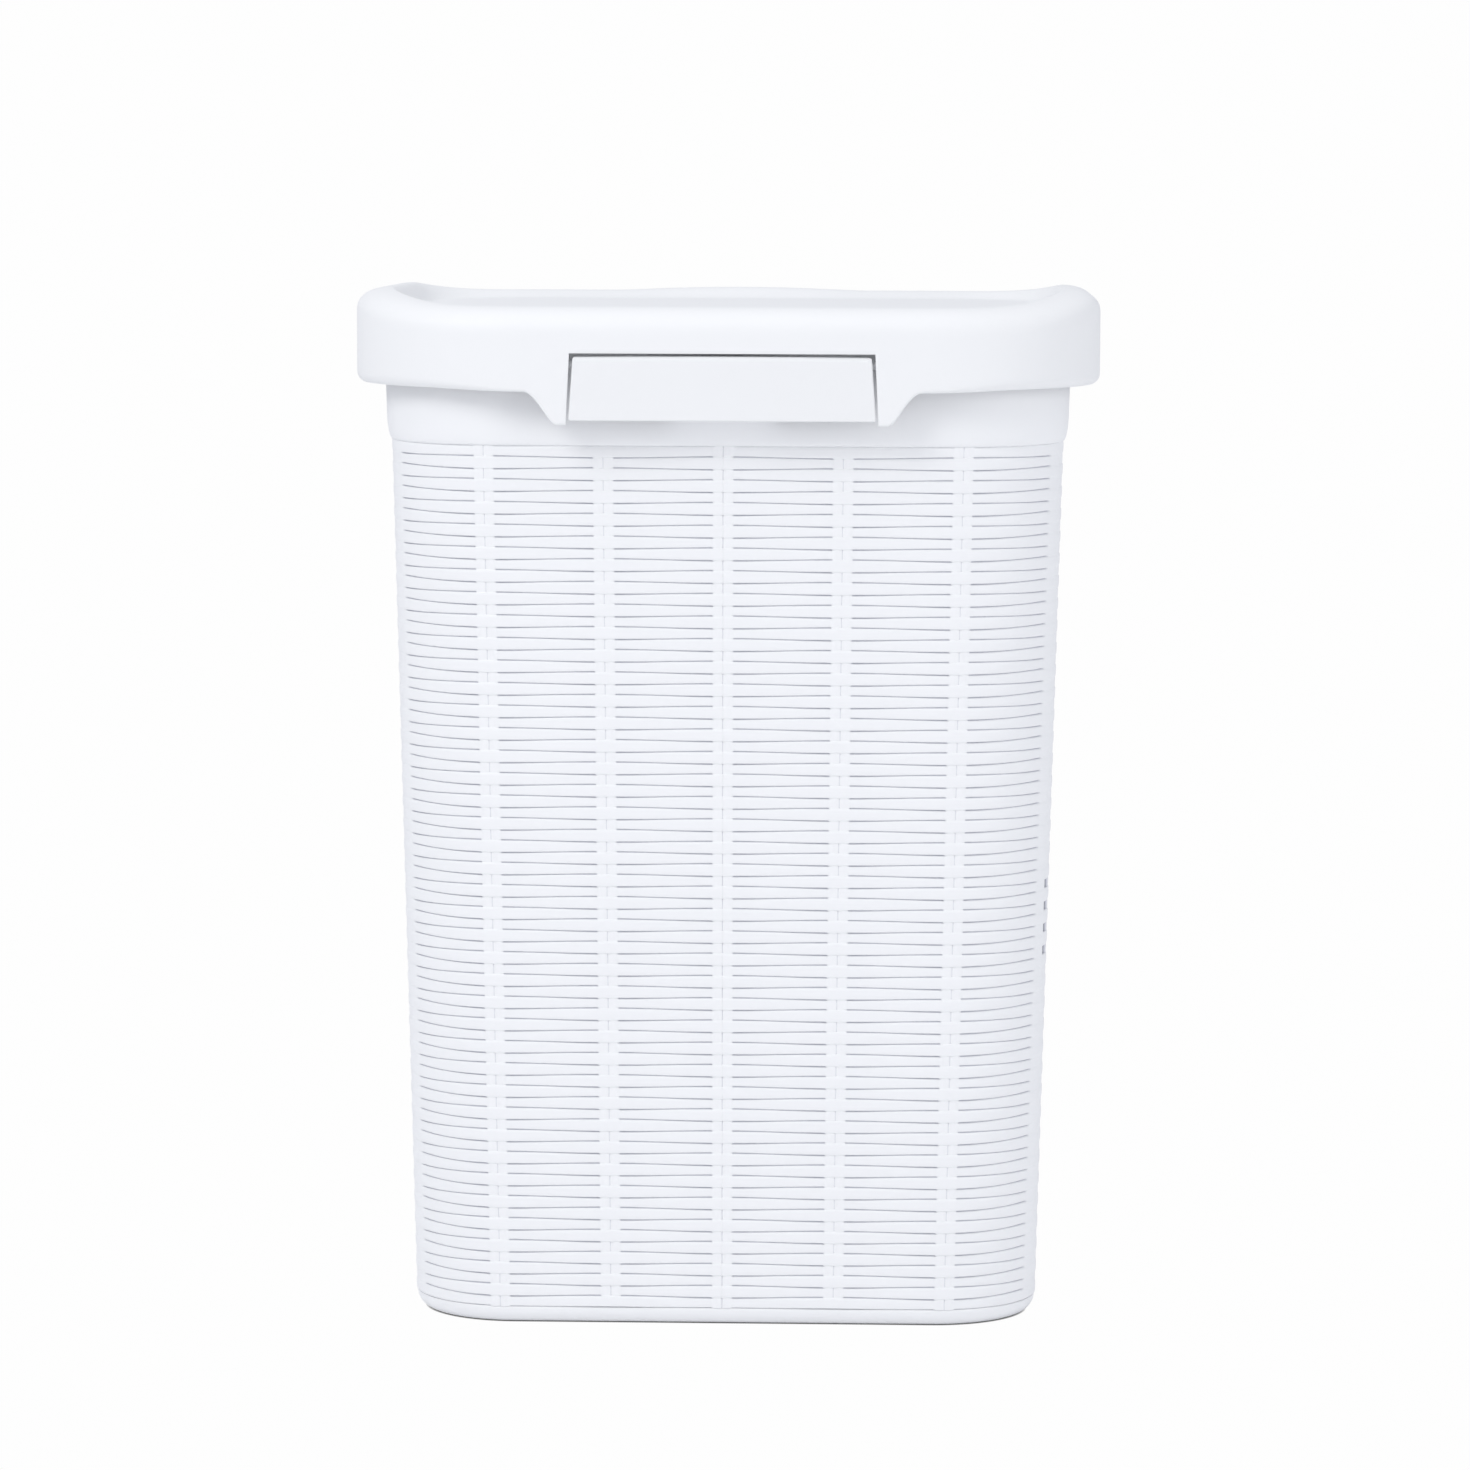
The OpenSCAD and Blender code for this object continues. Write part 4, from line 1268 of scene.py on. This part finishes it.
class HAMPER_OT_stage(bpy.types.Operator):
    """Sets up a plain pale floor, soft studio light and the camera"""

    bl_idname = "hamper.stage"
    bl_label = "Studio"

    def execute(self, context):
        scene = context.scene
        studio = scene.hamper_studio
        scene.view_settings.view_transform = "Standard"
        self.floor(scene)
        self.sky(scene, studio)
        self.lamp("Key", studio.key, 1.3, (-1.8, -2.2, 2.75))
        self.lamp("Fill", studio.fill, 2.2, (2.8, -2.0, 1.4))
        self.lamp("Top", studio.top, 2.0, (-0.4, -0.2, 3.0))
        camera = bpy.data.cameras.new("Camera")
        camera.lens = studio.lens
        camera.sensor_width = 36.0
        camera.clip_end = 100.0
        view = bpy.data.objects.new("Camera", camera)
        turned = Euler((studio.tilt, 0, studio.turn)).to_matrix().to_4x4()
        rolled = Matrix.Rotation(studio.roll, 4, "Z")
        view.matrix_world = Matrix.Translation(Vector(studio.place)) @ turned @ rolled
        scene.collection.objects.link(view)
        scene.camera = view
        return {"FINISHED"}

    def floor(self, scene):
        """A wide square floor where the tub stands: an even white to the camera, with a painted contact
        shadow close to the foot.
        """
        half = 12.0
        corners = np.array([[-half, -half, 0], [half, -half, 0], [half, half, 0], [-half, half, 0]])
        mesh = bpy.data.meshes.new("studio_floor")
        mesh.from_pydata(corners.tolist(), [], [(0, 1, 2, 3)])
        obj = bpy.data.objects.new("studio_floor", mesh)
        scene.collection.objects.link(obj)
        made = bpy.data.materials.new("studio_floor")
        made.use_nodes = True
        tree = made.node_tree
        shader = tree.nodes["Principled BSDF"]
        shader.inputs["Base Color"].default_value = (*scene.hamper_finish.floor, 1)
        shader.inputs["Roughness"].default_value = 0.9
        # painted shadow: ambient occlusion darkens the floor's white close to the foot; the lamps' own
        # shadows on the floor are not seen by the camera
        contact_shadow = tree.nodes.new("ShaderNodeAmbientOcclusion")
        contact_shadow.inputs["Distance"].default_value = 1.2 * MM
        white = tree.nodes.new("ShaderNodeEmission")
        tree.links.new(contact_shadow.outputs["Color"], white.inputs["Color"])
        white.inputs["Strength"].default_value = 0.99
        path = tree.nodes.new("ShaderNodeLightPath")
        mix = tree.nodes.new("ShaderNodeMixShader")
        tree.links.new(path.outputs["Is Camera Ray"], mix.inputs[0])
        tree.links.new(shader.outputs[0], mix.inputs[1])
        tree.links.new(white.outputs[0], mix.inputs[2])
        tree.links.new(mix.outputs[0], tree.nodes["Material Output"].inputs[0])
        mesh.materials.append(made)

    def sky(self, scene, studio):
        """An even pale surround: white to the camera, and dimmer as light."""
        world = bpy.data.worlds.new("Surround")
        world.use_nodes = True
        tree = world.node_tree
        tree.nodes.clear()
        out = tree.nodes.new("ShaderNodeOutputWorld")
        seen = tree.nodes.new("ShaderNodeBackground")
        seen.inputs["Color"].default_value = SURROUND
        light = tree.nodes.new("ShaderNodeBackground")
        light.inputs["Color"].default_value = SKY_COLOUR
        light.inputs["Strength"].default_value = studio.sky
        path = tree.nodes.new("ShaderNodeLightPath")
        mix = tree.nodes.new("ShaderNodeMixShader")
        tree.links.new(path.outputs["Is Camera Ray"], mix.inputs[0])
        tree.links.new(light.outputs[0], mix.inputs[1])
        tree.links.new(seen.outputs[0], mix.inputs[2])
        tree.links.new(mix.outputs[0], out.inputs[0])
        scene.world = world

    def lamp(self, name, power, size, place):
        """A square soft light that faces the middle of the hamper."""
        data = bpy.data.lights.new(name, "AREA")
        data.energy = power
        data.color = LAMP_COLOUR
        data.size = size
        obj = bpy.data.objects.new(name, data)
        obj.location = place
        obj.rotation_mode = "QUATERNION"
        obj.rotation_quaternion = (Vector(LAMPS_FACE) - Vector(place)).to_track_quat("-Z", "Y")
        bpy.context.scene.collection.objects.link(obj)


# ---------------------------------------------------------------- panel and run

OPERATORS = (
    HAMPER_OT_weave,
    HAMPER_OT_foot,
    HAMPER_OT_neck,
    HAMPER_OT_hinge,
    HAMPER_OT_lid,
    HAMPER_OT_lid_fittings,
    HAMPER_OT_latch,
    HAMPER_OT_stage,
)
SETTINGS = {
    "hamper_weave": HAMPER_PG_weave,
    "hamper_lid": HAMPER_PG_lid,
    "hamper_latch": HAMPER_PG_latch,
    "hamper_finish": HAMPER_PG_finish,
    "hamper_studio": HAMPER_PG_studio,
}


class HAMPER_PT_panel(bpy.types.Panel):
    """Lists the hamper's pieces and its settings"""

    bl_idname = "HAMPER_PT_panel"
    bl_label = "Laundry Hamper"
    bl_space_type = "VIEW_3D"
    bl_region_type = "UI"
    bl_category = "Hamper"

    def draw(self, context):
        for operator in OPERATORS:
            self.layout.operator(operator.bl_idname)
        for name, group in SETTINGS.items():
            box = self.layout.box()
            for prop in group.__annotations__:
                box.prop(getattr(context.scene, name), prop)


def register():
    for name, group in SETTINGS.items():
        bpy.utils.register_class(group)
        setattr(bpy.types.Scene, name, PointerProperty(type=group))
    for operator in OPERATORS:
        bpy.utils.register_class(operator)
    bpy.utils.register_class(HAMPER_PT_panel)


def unregister():
    bpy.utils.unregister_class(HAMPER_PT_panel)
    for operator in reversed(OPERATORS):
        bpy.utils.unregister_class(operator)
    for name, group in reversed(SETTINGS.items()):
        delattr(bpy.types.Scene, name)
        bpy.utils.unregister_class(group)


def main():
    """Builds every piece and the studio."""
    register()
    for operator in OPERATORS:
        step = operator.bl_idname.split(".")[1]
        getattr(bpy.ops.hamper, step)()


if __name__ == "__main__":
    main()
